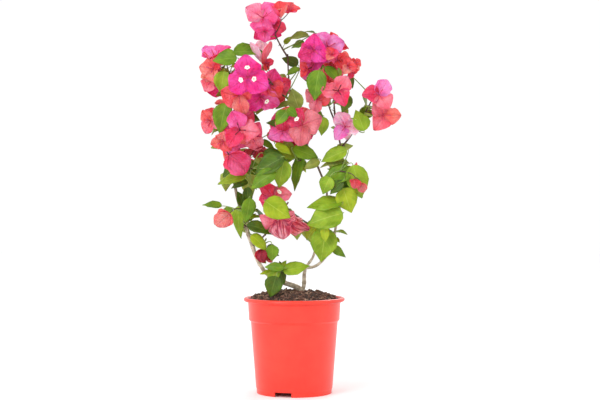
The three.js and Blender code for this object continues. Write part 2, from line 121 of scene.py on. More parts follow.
def lattice_values(corners, seed):
    """A number from 0 to 1 at each whole-number corner: the fraction of a large multiple of a sine."""
    mixed = corners @ LATTICE_STEPS + seed * SEED_STEP
    return np.modf(np.abs(np.sin(mixed) * SINE_SCALE))[0]


def soft_noise(points, seed):
    """Noise from -1 to 1: corner values blended over each cell of a unit lattice by 3t² - 2t³."""
    cell = np.floor(points)
    t = points - cell
    t = t * t * (3 - 2 * t)
    total = 0
    for corner in np.ndindex(2, 2, 2):
        weight = np.prod(np.where(corner, t, 1 - t), axis=-1)
        total = total + weight * lattice_values(cell + corner, seed)
    return 2 * total - 1


def layered_noise(points, layers, seed):
    """Soft noise in layers, each half the size and half the strength of the one before."""
    return sum(soft_noise(points * 2**k, seed + k) / 2**k for k in range(layers))


# Meshes

def new_piece(name, places, faces, materials, slot, replaced=(), uv=None, tint=None, flat=False):
    """A mesh piece from corner places in metres and faces of three or four corner numbers. uv holds a
    pair for each corner, and tint the number of each face's material."""
    mesh = bpy.data.meshes.new(name)
    mesh.from_pydata(places.tolist(), [], [face for group in faces for face in group.tolist()])
    if uv is not None:
        corners = np.empty(len(mesh.loops), np.int32)
        mesh.loops.foreach_get("vertex_index", corners)
        layer = mesh.uv_layers.new(name="blade")
        layer.data.foreach_set("uv", uv[corners].astype(np.float32).ravel())
    mesh.polygons.foreach_set("use_smooth", np.full(len(mesh.polygons), not flat))
    for material in materials:
        mesh.materials.append(material)
    if tint is not None:
        mesh.polygons.foreach_set("material_index", tint.astype(np.int32))
    mesh.update()
    piece = bpy.data.objects.new(name, mesh)
    bpy.context.scene.collection.objects.link(piece)
    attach(piece, "root")
    if len(replaced):
        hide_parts(*replaced)
    return piece


def unit(vectors):
    """Each vector over its own length."""
    return vectors / np.linalg.norm(vectors, axis=-1, keepdims=True)


def even_turns(count):
    """Angles spread evenly round a circle."""
    return np.arange(count) * 2 * np.pi / count


def ring_faces(rings, columns):
    """Faces of a closed surface whose corners go ring by ring, then one corner that closes the first ring
    and one that closes the last."""
    here = np.arange(rings * columns).reshape(rings, columns)
    after = np.roll(here, -1, axis=1)
    wall = np.stack([here[:-1], after[:-1], after[1:], here[1:]], axis=-1).reshape(-1, 4)
    foot, tip = rings * columns, rings * columns + 1
    foot_fan = np.stack([np.full(columns, foot), after[0], here[0]], axis=-1)
    tip_fan = np.stack([np.full(columns, tip), here[-1], after[-1]], axis=-1)
    return wall, np.concatenate([foot_fan, tip_fan])


def turned_over(faces):
    """The same faces with their corners the other way round, each from the same first corner."""
    return [np.concatenate([group[:, :1], group[:, :0:-1]], axis=1) for group in faces]


def tube_places(paths, radii, sides, relief=None):
    """Corners of tubes along paths: at each step of a path, a ring of the step's radius at right angles
    to the path, plus the relief there. paths is tubes by steps by 3, radii is tubes by steps."""
    tangent = unit(np.gradient(paths, axis=1))
    chord = unit(paths[:, -1] - paths[:, 0])
    away = np.eye(3)[np.argmin(np.abs(chord), axis=1)]
    side = unit(np.cross(tangent, away[:, None]))
    other = np.cross(tangent, side)
    turn = even_turns(sides)
    spoke = np.cos(turn)[:, None] * side[:, :, None] + np.sin(turn)[:, None] * other[:, :, None]
    reach = np.broadcast_to(radii[:, :, None], (*radii.shape, sides))
    if relief is not None:
        reach = reach + relief
    rings = paths[:, :, None] + spoke * reach[..., None]
    ends = np.stack([paths[:, 0], paths[:, -1]], axis=1)
    return np.concatenate([rings.reshape(len(paths), -1, 3), ends], axis=1)


def repeated(faces, copies, corners):
    """The same faces for each of several copies whose corners follow one another."""
    steps = np.arange(copies)[:, None, None] * corners
    return [(group[None] + steps).reshape(-1, group.shape[1]) for group in faces]


def joined(parts):
    """Several sets of places and faces as one set."""
    places = np.concatenate([part[0] for part in parts])
    starts = np.cumsum([0] + [len(part[0]) for part in parts])
    faces = [group + start for part, start in zip(parts, starts) for group in part[1]]
    return places, faces


def tubes(paths, radii, sides, relief=None):
    """Closed tubes along several paths as one set of places and faces."""
    places = tube_places(paths, radii, sides, relief)
    faces = ring_faces(paths.shape[1], sides)
    return places.reshape(-1, 3), repeated(faces, len(paths), places.shape[1])


# Woody limbs, as in the part's source: points that each passes through, and its radii at foot and tip

limbs = {
    "trunk": (((15, 0, 166), (5, 0, 176), (-14, -2, 183), (-34, -4, 191), (-50, -6, 203)), (4.6, 3.5)),
    "left_stem_lower": (((-50, -6, 203), (-61, -8, 222), (-72, -10, 252), (-85, -12, 288)), (3.4, 2.9)),
    "left_stem_upper": (
        ((-85, -12, 288), (-98, -8, 340), (-105, 0, 388), (-98, 4, 440), (-87, 2, 470)), (2.8, 1.7)),
    "upright_stem": (((14, 0, 172), (16.5, 1, 182), (16.6, 2, 196), (18.5, 3, 209)), (3.3, 2.9)),
    "right_stem_lower": (
        ((18.5, 3, 209), (34, 2, 211), (48, 0, 222), (62, -2, 245), (74, -4, 298)), (2.4, 2.1)),
    "right_stem_upper": (
        ((74, -4, 298), (81, 2, 340), (81, 6, 388), (76, 6, 424), (67, 2, 470)), (2.0, 1.3)),
    "centre_stem_lower": (
        ((18.5, 3, 209), (32, 8, 228), (41, 14, 264), (53, 16, 312), (54, 12, 340), (40, 8, 378)),
        (2.1, 1.7)),
    "centre_stem_upper": (
        ((40, 8, 378), (18, 6, 423), (0, 4, 470), (-9, 2, 524), (-11, 0, 568)), (1.6, 1.1)),
}
# How far the trunk's foot flares, mm, and over which share of it
TRUNK_FLARE, FLARED_SHARE = 3.2, 0.16
# A shoot's radius in mm, its sag over its length, and how far past the heart it ends, over that length
SHOOT_RADIUS, SHOOT_SAG, PAST_HEART = 1.5, 0.12, 0.12

# Masses of foliage, as in the part's source: limb, share of the limb where the shoot leaves it, heart,
# reach, leaves, blooms, seed, size
masses = {
    "crown_tip": ("centre_stem_upper", 0.97, (-42, -10, 618), (50, 52, 46), 1, 4, 3, 1),
    "upper_left": ("left_stem_upper", 0.98, (-112, 2, 541), (60, 62, 52), 5, 6, 5, 1),
    "upper_middle_front": ("centre_stem_upper", 0.6, (-38, -56, 512), (56, 54, 54), 4, 6, 4, 1),
    "upper_middle_back": ("centre_stem_upper", 0.7, (-36, 58, 530), (66, 54, 56), 5, 5, 6, 1),
    "upper_right": ("centre_stem_upper", 0.84, (60, -16, 558), (56, 58, 48), 4, 6, 9, 1),
    "upper_right_front": ("right_stem_upper", 0.9, (50, -58, 496), (54, 50, 50), 6, 3, 7, 1),
    "upper_right_back": ("right_stem_upper", 0.95, (66, 54, 520), (54, 52, 56), 5, 3, 13, 1),
    "right_outlier": ("right_stem_upper", 0.66, (126, -24, 480), (44, 50, 58), 2, 4, 1, 1),
    "middle_left": ("left_stem_upper", 0.76, (-108, -10, 448), (62, 64, 52), 6, 6, 12, 1),
    "middle_right": ("right_stem_upper", 0.78, (84, 2, 444), (46, 56, 44), 5, 2, 26, 1),
    "middle_centre": ("centre_stem_upper", 0.4, (-4, -56, 446), (58, 52, 50), 5, 4, 11, 1),
    "middle_back": ("centre_stem_upper", 0.5, (-4, 62, 444), (62, 50, 50), 5, 3, 18, 1),
    "leafy_left_front": ("left_stem_upper", 0.46, (-72, -46, 370), (60, 54, 48), 11, 2, 14, 1),
    "leafy_left_back": ("left_stem_upper", 0.55, (-84, 56, 388), (62, 54, 62), 8, 3, 16, 1),
    "leafy_centre": ("centre_stem_upper", 0.14, (8, -22, 384), (48, 52, 42), 6, 0, 17, 1),
    "leafy_right_front": ("right_stem_upper", 0.34, (76, -42, 364), (48, 52, 58), 10, 1, 2, 1),
    "leafy_right_back": ("right_stem_upper", 0.42, (70, 58, 396), (56, 52, 62), 7, 2, 19, 1),
    "low_right": ("right_stem_lower", 0.8, (54, -40, 280), (44, 50, 58), 8, 0, 20, 1.1),
    "low_left": ("left_stem_lower", 0.9, (-84, -24, 298), (54, 56, 50), 8, 1, 21, 1),
    "low_centre": ("left_stem_lower", 0.6, (-16, -50, 306), (54, 52, 54), 6, 4, 22, 1),
    "low_back": ("centre_stem_lower", 0.45, (-10, 64, 304), (64, 50, 58), 7, 2, 23, 1),
    "foot_left": ("left_stem_lower", 0.3, (-50, -20, 242), (42, 50, 38), 5, 1, 24, 1),
    "foot_front": ("trunk", 0.6, (-22, -38, 204), (46, 46, 36), 5, 0, 25, 1),
}
names = list(masses)
hearts = np.array([masses[name][2] for name in names], float)
reaches = np.array([masses[name][3] for name in names], float)

# Leaf and bract: length, then width over length, where widest, and how far the edges fold up, and how far
# a bract bends
LEAF_LENGTH, LEAF_FORM = 43, (0.72, 0.36, 0.22)
BRACT_LENGTH, BRACT_FORM, BRACT_BEND = 35, (0.86, 0.42, 0.3), 0.7
BRACTS = 3
# The share of its length at which a blade that bends points its own way
LEVEL_SHARE = 0.25
# The range of a bloom's opening and of a stalk's length in mm, and the ways tried for each
NARROW_OPENING, WIDE_OPENING = math.radians(44), math.radians(76)
SHORTEST_TWIG, LONGEST_TWIG = 7, 46
TRIES = 60
# The least gaps, and the one that is room enough, mm
BLADE_TO_LIMB, TWIG_TO_LIMB, BLADE_TO_BLADE, BLADE_TO_TWIG, ROOM_ENOUGH = 4.5, 1.6, 5, 3, 30
# How far growth keeps from the planes between masses, mm, how far its tips go over its mass's reach, and
# the height in mm below which nothing grows
BETWEEN_MASSES, TIP_REACH, LOWEST_LEAF = 0.6, 1.2, 172


def random_draws(seed):
    """Draws from 0 to 1: each state is the one before times 48271, modulo 2147483647."""
    state = seed * 7919 + 17

    def draw():
        nonlocal state
        state = state * 48271 % 2147483647
        return state / 2147483647

    return draw


def smooth_path(through, shares):
    """Places on a Catmull-Rom curve of tension 0.5 through the points, at shares of its parameter."""
    points = np.array(through, float)
    points = np.vstack([2 * points[0] - points[1], points, 2 * points[-1] - points[-2]])
    along = np.asarray(shares, float) * (len(points) - 3)
    k = np.minimum(along.astype(int), len(points) - 4)
    t = (along - k)[:, None]
    before, start, end, after = (points[k + i] for i in range(4))
    leaving, arriving = 0.5 * (end - before), 0.5 * (after - start)
    return (
        (2 * t**3 - 3 * t**2 + 1) * start
        + (t**3 - 2 * t**2 + t) * leaving
        + (3 * t**2 - 2 * t**3) * end
        + (t**3 - t**2) * arriving
    )


def limb_radius(name, share):
    """An even taper from foot to tip, with the trunk's foot flared by the square of what is left of the
    flared share."""
    foot, tip = limbs[name][1]
    flare = TRUNK_FLARE if name == "trunk" else 0
    return foot + (tip - foot) * share + flare * np.maximum(0, 1 - share / FLARED_SHARE) ** 2


def shoot_points(name, shares):
    """Places on the mass's own stem: a quadratic Bezier curve from inside its limb, sagging between, to
    a little past the mass's heart."""
    limb, at, heart = masses[name][:3]
    root = smooth_path(limbs[limb][0], [at])[0]
    heart = np.array(heart, float)
    tip = heart + (root - heart) * -PAST_HEART + 6 * UP
    bow = (root + heart) / 2 - SHOOT_SAG * np.linalg.norm(root - heart) * UP
    t = np.atleast_1d(shares)[:, None]
    return (1 - t) ** 2 * root + 2 * t * (1 - t) * bow + t**2 * tip


def outward_at(point):
    """The level direction away from the crown's middle, to its front or its back."""
    return unit(np.array([0.5 * point[0], point[1] + (-30 if point[1] < 0 else 30), 0]))


def blade_axes(along, face):
    """A blade's own directions as three rows: along it, up from its face, and across it."""
    along = unit(along)
    face = unit(face - np.sum(face * along, axis=-1, keepdims=True) * along)
    return np.stack([along, face, np.cross(face, along)], axis=-2)


def half_width(share, widest, power=0.8):
    """Half a blade's width over its widest half: the sine of pi times the share to a power that puts
    its top at the widest place, and all that to a second power."""
    turn = math.log(0.5) / np.log(widest)
    return np.maximum(np.sin(np.pi * share**turn), 0) ** power


def blade_arc(share, length, bend):
    """How far along and how far up a blade's arc has come, at shares of its length. The bend is its whole
    turn, and it points its own way at the level share."""
    run = length * (np.sin(bend * (share - LEVEL_SHARE)) + np.sin(bend * LEVEL_SHARE)) / bend
    rise = length * (np.cos(bend * (share - LEVEL_SHARE)) - np.cos(bend * LEVEL_SHARE)) / bend
    return run, rise


def blade_points(base, axes, length, bend, form, share, side):
    """Places on blades that bend along an arc towards their tips and fold up at their edges with the
    square of the side, for shares of the length from base to tip and sides from -1 to 1."""
    width, widest, fold = form
    length = length[:, None]
    run, rise = blade_arc(share, length, bend[:, None])
    half = half_width(share, widest) * length * width / 2
    offsets = np.stack([run, rise + fold * half * side**2, half * side], axis=-1)
    return base[:, None] + offsets @ axes


def sample_grid(form):
    """The shares and sides of a blade's base, its outline points, and nine points inside it."""
    low, high = 0.7 * form[1], form[1] + 0.36
    outline = [(0, 0), (low, 1), (high, 1), (1, 0), (high, -1), (low, -1)]
    inside = [(share, side) for share in (0.3, 0.55, 0.8) for side in (-0.5, 0, 0.5)]
    return np.array(outline + inside).T


LEAF_SAMPLES, BRACT_SAMPLES = sample_grid(LEAF_FORM), sample_grid(BRACT_FORM)


def line_segments(points, radii):
    """The stretches of a line as starts, vectors and the larger end radius of each."""
    return points[:-1], np.diff(points, axis=0), np.maximum(radii[:-1], radii[1:])


def least_gap(points, segments):
    """The least distance from each point to the stretches, less their radius."""
    start, vector, radius = segments
    offset = points[:, None] - start
    share = np.clip(np.sum(offset * vector, -1) / np.sum(vector * vector, -1), 0, 1)
    away = np.linalg.norm(offset - share[..., None] * vector, axis=-1) - radius
    return away.min(axis=1)


def distances(some, others):
    """The distance from each of some points to each of the others."""
    return np.linalg.norm(some[:, None] - others[None], axis=-1)


def room_around(samples, others):
    """The least distance from a blade's points to the points of others, up to what is room enough."""
    return min([distances(other, samples).min() for other in others] + [ROOM_ENOUGH])


# All wood as lines: each limb in 24 stretches and each shoot in 10, a little thinner from one to the next
LIMB_STRETCHES, SHOOT_STRETCHES, SHOOT_THINNING = 24, 10, 0.05
limb_shares = np.arange(LIMB_STRETCHES + 1) / LIMB_STRETCHES
limb_lines = [
    line_segments(smooth_path(limbs[name][0], limb_shares), limb_radius(name, limb_shares)) for name in limbs
]
steps = np.arange(SHOOT_STRETCHES + 1)
shoot_lines = {
    name: line_segments(shoot_points(name, steps / SHOOT_STRETCHES), SHOOT_RADIUS - SHOOT_THINNING * steps)
    for name in names
}
other_lines = {}
for name in names:
    lines = limb_lines + [shoot_lines[other] for other in names if other != name]
    other_lines[name] = tuple(np.concatenate(column) for column in zip(*lines))


def inside_own_space(name, points):
    """True where all points are inside the mass's reach and on its side of the plane between it and
    each other mass."""
    i = names.index(name)
    offset = points - hearts[i]
    if (np.linalg.norm(offset / reaches[i], axis=1) > TIP_REACH).any():
        return False
    if (points[:, 2] < LOWEST_LEAF).any():
        return False
    power = np.sum((points[:, None] - hearts) ** 2, -1) - reaches.mean(axis=1) ** 2
    between = 2 * np.linalg.norm(hearts[i] - hearts, axis=1)
    others = np.arange(len(names)) != i
    margin = (power[:, others] - power[:, i : i + 1]) / between[others]
    return bool((margin > BETWEEN_MASSES).all())


def distance_to_reach(name, start, direction):
    """How far it is from a point inside a mass's reach to the edge of that ellipsoid."""
    i = names.index(name)
    p = (start - hearts[i]) / reaches[i]
    d = direction / reaches[i]
    a, b, c = d @ d, p @ d, p @ p - 1
    return (-b + math.sqrt(max(0, b * b - a * c))) / a


def leaf_blade(joint, direction, outward, length, draw):
    """A leaf hangs down and away from the crown's middle, its face up and outwards."""
    sway = np.array([draw() - 0.5, draw() - 0.5, draw() - 0.5])
    along = direction + 0.3 * outward - 0.85 * UP + 0.5 * sway
    face = 0.5 * UP + 0.9 * outward + 0.7 * sway
    bend = 0.5 + 0.5 * draw()
    return joint[None], blade_axes(along, face)[None], np.array([length]), np.array([bend]), LEAF_FORM


def spokes(side, other, turn=0.0):
    """Three directions a third of a turn apart in the plane of two others, the first by a turn from side."""
    angle = (turn + even_turns(BRACTS))[:, None]
    return np.cos(angle) * side + np.sin(angle) * other


def bract_blades(centre, axis, spoke, opening, length, bend=BRACT_BEND, form=BRACT_FORM):
    """A bloom's three bracts: each leans away from its axis along its own spoke by the opening angle."""
    along = axis * math.cos(opening) + spoke * math.sin(opening)
    face = axis * math.sin(opening) - spoke * math.cos(opening)
    centres = np.repeat(centre[None], BRACTS, axis=0)
    return centres, blade_axes(along, face), np.full(BRACTS, float(length)), np.full(BRACTS, bend), form


def bracts_round(centre, axis, length, turn, opening):
    """The bracts of a bloom from its axis, its turn about that and its opening angle."""
    side = unit(np.cross([0.31, 0.17, 0.93], axis))
    return bract_blades(centre, axis, spokes(side, np.cross(axis, side), turn), opening, length)


def bloom_blades(centre, axis, length, draw):
    """The bracts of a bloom whose turn and opening angle are drawn."""
    turn = draw() * 2 * math.pi
    opening = NARROW_OPENING + (WIDE_OPENING - NARROW_OPENING) * draw()
    return bracts_round(centre, axis, length, turn, opening)


def candidate(name, is_bloom, even, wander, share, draw):
    """One way to set a leaf or a bloom: its foot on the shoot, its joint, its axis and its blades."""
    size = masses[name][7]
    sway = np.array([draw() - 0.5, draw() - 0.5, draw() - 0.5])
    foot = shoot_points(name, 0.98 - 0.25 * share if is_bloom else 0.95 - 0.5 * share)[0]
    outward = outward_at(foot)
    direction = unit(even + 0.35 * outward + sway * (0.5 + 2 * wander))
    length = (BRACT_LENGTH if is_bloom else LEAF_LENGTH) * size * (0.85 + 0.3 * draw())
    room = distance_to_reach(name, foot, direction) - (0.75 if is_bloom else 0.6) * length
    stalk = min(max(room, SHORTEST_TWIG), LONGEST_TWIG) * (0.75 + 0.25 * draw())
    joint = foot + direction * stalk
    axis = unit(direction + 0.5 * outward + 0.25 * UP)
    if is_bloom:
        blades = bloom_blades(joint, axis, length, draw)
    else:
        blades = leaf_blade(joint, direction, outward, length, draw)
    samples = blade_points(*blades, *(BRACT_SAMPLES if is_bloom else LEAF_SAMPLES)).reshape(-1, 3)
    twig = foot + np.array([[0.35], [0.7], [1]]) * (joint - foot)
    return {"mass": name, "is_bloom": is_bloom, "foot": foot, "joint": joint, "axis": axis,
            "blades": blades, "samples": samples, "twig": twig}


def spread(name):
    """The source's rule: blooms near the shoot's tip and then leaves, at directions spread evenly over a
    ball. Each is tried in many ways, and the one that stands furthest from its neighbours is kept."""
    leaves, blooms, seed = masses[name][4:7]
    draw = random_draws(seed)
    placed = []
    for is_bloom, count in ((True, blooms), (False, leaves)):
        phase = draw() * 2 * math.pi
        for i in range(count):
            height = 1 - (2 * i + 1) / count
            ring = math.sqrt(1 - height * height)
            turn = phase + i * GOLDEN_TURN
            even = np.array([ring * math.cos(turn), ring * math.sin(turn), height])
            best = None
            for attempt in range(TRIES):
                item = candidate(name, is_bloom, even, attempt / TRIES, (i + 0.5) / count, draw)
                samples, twig = item["samples"], item["twig"]
                if not inside_own_space(name, np.concatenate([samples, twig])):
                    continue
                if (least_gap(samples, shoot_lines[name]) <= BLADE_TO_TWIG).any():
                    continue
                if (least_gap(samples, other_lines[name]) <= BLADE_TO_LIMB).any():
                    continue
                if (least_gap(twig, other_lines[name]) <= TWIG_TO_LIMB).any():
                    continue
                space = room_around(samples, [o["samples"] for o in placed])
                crosses = space < BLADE_TO_BLADE or any(
                    distances(o["twig"], samples).min() < BLADE_TO_TWIG
                    or distances(o["samples"], twig).min() < BLADE_TO_TWIG
                    for o in placed
                )
                if not crosses and (best is None or space > best["space"]):
                    best = {**item, "space": space}
            if best:
                placed.append(best)
    return placed


placed = {name: spread(name) for name in names}


# Blooms and leaves that the photograph shows, each grown from the shoot of the mass that it lies in

# How far a blade stands clear of others and of wood, mm
TOUCHING, CLEAR_OF_WOOD = 3.2, 1.6
# Below these opening angles, in degrees, a bloom is closed or half open, and its bracts have this bend and
# this form
CLOSED, CLOSED_BEND, CLOSED_FORM = 32, -1.9, (0.78, 0.46, 0.12)
HALF_OPEN, HALF_OPEN_BEND, HALF_OPEN_FORM = 40, -0.55, (0.58, 0.6, 0.3)
# Shifts in depth, tried in turn, mm
DEPTH_STEPS = (0, -5, 5, -10, 10, -15, 15, -20, 20, -26, 26, -32, 32)


def seen_at(column, row, depth):
    """The place in mm that the camera sees at a column and a row of its picture, at a depth."""
    scale = (VIEW_DISTANCE + depth) / VIEW_SCALE
    return np.array([VIEW_X + (column - PICTURE_WIDTH / 2) * scale, depth,
                     VIEW_Z + (PICTURE_HEIGHT / 2 - row) * scale])


def seen_from(place):
    """The column and row of the picture at which the camera sees places in mm."""
    scale = VIEW_SCALE / (VIEW_DISTANCE + place[..., 1])
    column = PICTURE_WIDTH / 2 + (place[..., 0] - VIEW_X) * scale
    return np.stack([column, PICTURE_HEIGHT / 2 - (place[..., 2] - VIEW_Z) * scale], axis=-1)


def faced(right, near, up):
    """A direction as the viewer has it: to the right, towards the viewer and up."""
    return unit(np.array([right, -near, up]))


# Column, row and depth in mm of a bloom's heart, its axis and its first bract as (right, near, up), the
# opening angle, the bracts' length, their tints, and how many of its flowers are open, or -1 where none is
# and their tubes are dark
blooms_seen = (
    (263, 18, -34, (-0.2, 1, 0.1), (-0.85, 0, 0.5), 72, 35, ("soft_pink", "hot_pink", "hot_pink"), 0),
    (265, 31, -40, (0.0, 0.8, -0.6), (-0.1, 0, -1), 60, 19, ("hot_pink", "hot_pink", "hot_pink"), 0),
    (289, 12, -18, (0.25, 0.6, 0.7), (1, 0, 0.5), 56, 21, ("coral_red", "rose", "coral_red"), 0),
    (281, 18, -26, (-0.1, 0.45, 0.9), (0, -1, 0.3), 38, 29, ("coral_red", "coral", "rose"), 1),
    (274, 25, -10, (0.3, 0.8, -0.3), (0.9, 0, -0.4), 66, 22, ("rose", "magenta", "hot_pink"), 0),
    (262, 63, -30, (-0.05, 0.25, 0.95), (0, -1, 0), 35, 42, ("pale_pink", "coral_pink", "pale_pink"), -1),
    (266, 63, -12, (0.3, 0.9, -0.2), (1, 0, 0.3), 64, 14, ("rose", "coral_red", "rose"), 0),
    (216, 60, -20, (-0.1, 0.5, 0.85), (0.9, 0, 0.5), 50, 34, ("hot_pink", "rose", "orchid"), 0),
    (213, 69, -44, (-0.4, 0.9, 0.1), (-1, 0, 0.25), 72, 25, ("coral", "coral_red", "coral"), 0),
    (212, 80, -34, (-0.3, 0.9, -0.2), (-0.5, 0, -0.85), 70, 23, ("coral_pink", "coral", "rose"), 0),
    (248, 77, -84, (0.0, 1, 0.05), (-0.05, 0, 1), 76, 38, ("magenta", "magenta", "magenta"), 3),
    (239, 96, -62, (-0.1, 0.9, -0.35), (0.25, 0, -1), 74, 32, ("coral", "coral_red", "coral_red"), 0),
    (261, 97, -46, (0.1, 1, -0.35), (0.9, 0, -0.5), 74, 33, ("hot_pink", "magenta", "magenta"), 1),
    (269, 85, -40, (0.4, 0.9, 0.0), (0.35, 0, 1), 70, 29, ("deep_magenta", "coral_red", "rose"), 0),
    (278, 88, -28, (0.4, 0.9, 0.1), (1, 0, 0.6), 70, 26, ("rose", "coral_red", "rose"), 0),
    (314, 50, -50, (-0.1, 0.9, -0.2), (0.12, 0, 1), 72, 29, ("magenta", "magenta", "deep_magenta"), 0),
    (328, 47, -34, (0.3, 0.9, 0.2), (0.9, 0, 0.35), 72, 31, ("orchid", "hot_pink", "orchid"), 0),
    (332, 55, -44, (-0.2, 0.9, 0.3), (-0.5, 0, 0.8), 56, 15, ("coral_red", "rose", "coral"), 0),
    (338, 60, -52, (0.1, 0.9, -0.1), (0.6, 0, 0.7), 56, 17, ("coral_red", "coral_red", "rose"), 0),
    (332, 65, -40, (-0.3, 0.8, -0.4), (0.2, 0, -1), 56, 14, ("rose", "coral_red", "coral_red"), 0),
    (344, 59, -40, (0.2, 0.8, 0.5), (0.2, 0, 1), 54, 14, ("coral", "coral_red", "rose"), 0),
    (348, 66, -42, (0.1, 0.9, -0.1), (-0.4, 0, 0.9), 58, 17, ("coral_red", "coral_red", "coral"), 0),
    (354, 65, -30, (0.5, 0.8, 0.3), (0.8, 0, 0.6), 58, 15, ("coral_red", "coral", "coral_red"), 0),
    (351, 71, -34, (0.2, 0.8, -0.5), (0, 0, -1), 54, 13, ("rose", "coral_red", "coral_red"), 0),
    (308, 69, -34, (-0.8, 0.5, 0.0), (-0.5, 1, 0.1), 46, 18, ("coral_red", "coral_red", "coral_red"), 0),
    (338, 91, -60, (0.0, 1, 0.1), (0.5, 0, 0.85), 74, 29, ("coral_pink", "rose", "coral_pink"), -1),
    (317, 99, -44, (-0.1, 0.9, -0.3), (-0.2, 0, -1), 72, 25, ("coral_pink", "dusty", "coral_red"), 0),
    (379, 95, -36, (0.1, 1, 0.1), (0.5, 0, 0.85), 74, 30, ("orchid", "coral_pink", "rose"), 0),
    (383, 115, -28, (0.2, 1, -0.1), (0.9, 0, 0.0), 74, 31, ("coral", "coral_pink", "coral_pink"), 0),
    (345, 127, -34, (0.0, 1, 0.1), (-0.5, 0, 1), 74, 28, ("pale_pink", "pale_pink", "orchid"), 0),
    (302, 125, -62, (0.0, 1, 0.1), (-0.7, 0, 0.6), 76, 36, ("rose", "dusty", "dusty"), 1),
    (211, 121, -22, (-0.3, 0.9, -0.3), (-0.5, 0, -1), 66, 24, ("coral_pink", "coral", "coral_pink"), 0),
    (240, 130, -62, (0.0, 1, 0.05), (1, 0, -0.15), 74, 34, ("coral_pink", "rose", "hot_pink"), -1),
    (251, 136, -42, (0.2, 0.9, -0.2), (0.5, 0, -0.8), 74, 28, ("coral_pink", "coral", "rose"), 0),
    (223, 141, -40, (-0.2, 0.8, -0.4), (-1, 0, -0.3), 66, 22, ("coral", "coral", "coral_red"), 0),
    (257, 149, -26, (0.0, 0.4, -0.9), (-1, 0, 0.0), 66, 26, ("crimson", "crimson", "crimson"), 0),
    (229, 155, -54, (0.62, 0.1, -0.75), (0.3, 1, 0.3), 31, 48, ("rose", "rose", "rose"), 0),
    (283, 131, -44, (-0.1, 1, 0.1), (-0.9, 0, -0.45), 72, 27, ("hot_pink", "rose", "hot_pink"), 0),
    (273, 198, -40, (0.0, 0.8, 0.6), (1, 0, 0.2), 70, 33, ("coral_pink", "rose", "rose"), 1),
    (288, 218, -32, (0.1, 0.55, -0.8), (0.85, 0, -0.65), 60, 42, ("striped", "crimson", "striped"), 0),
    (280, 218, -46, (-0.05, 0.8, -0.6), (0.1, 0, -1), 62, 38, ("striped", "coral_pink", "striped"), 0),
    (230, 213, -52, (-0.8, 0.15, -0.75), (0.1, 1, 0.1), 31, 36, ("coral", "coral", "coral_red"), 0),
    (263, 249, -40, (0.0, 0.25, -0.95), (-0.5, 1, 0.0), 31, 27, ("crimson", "crimson", "crimson"), 0),
    (270, 256, -34, (0.2, 0.3, -0.9), (-0.5, 1, 0.0), 31, 13, ("coral", "coral", "coral"), 0),
    (355, 179, -66, (-0.1, 0.2, -1), (0.1, 1, 0), 31, 19, ("coral_red", "coral_red", "coral"), 0),
    (361, 183, -66, (0.2, 0.2, -1), (0.1, 1, 0), 31, 19, ("coral", "coral", "coral_red"), 0),
)

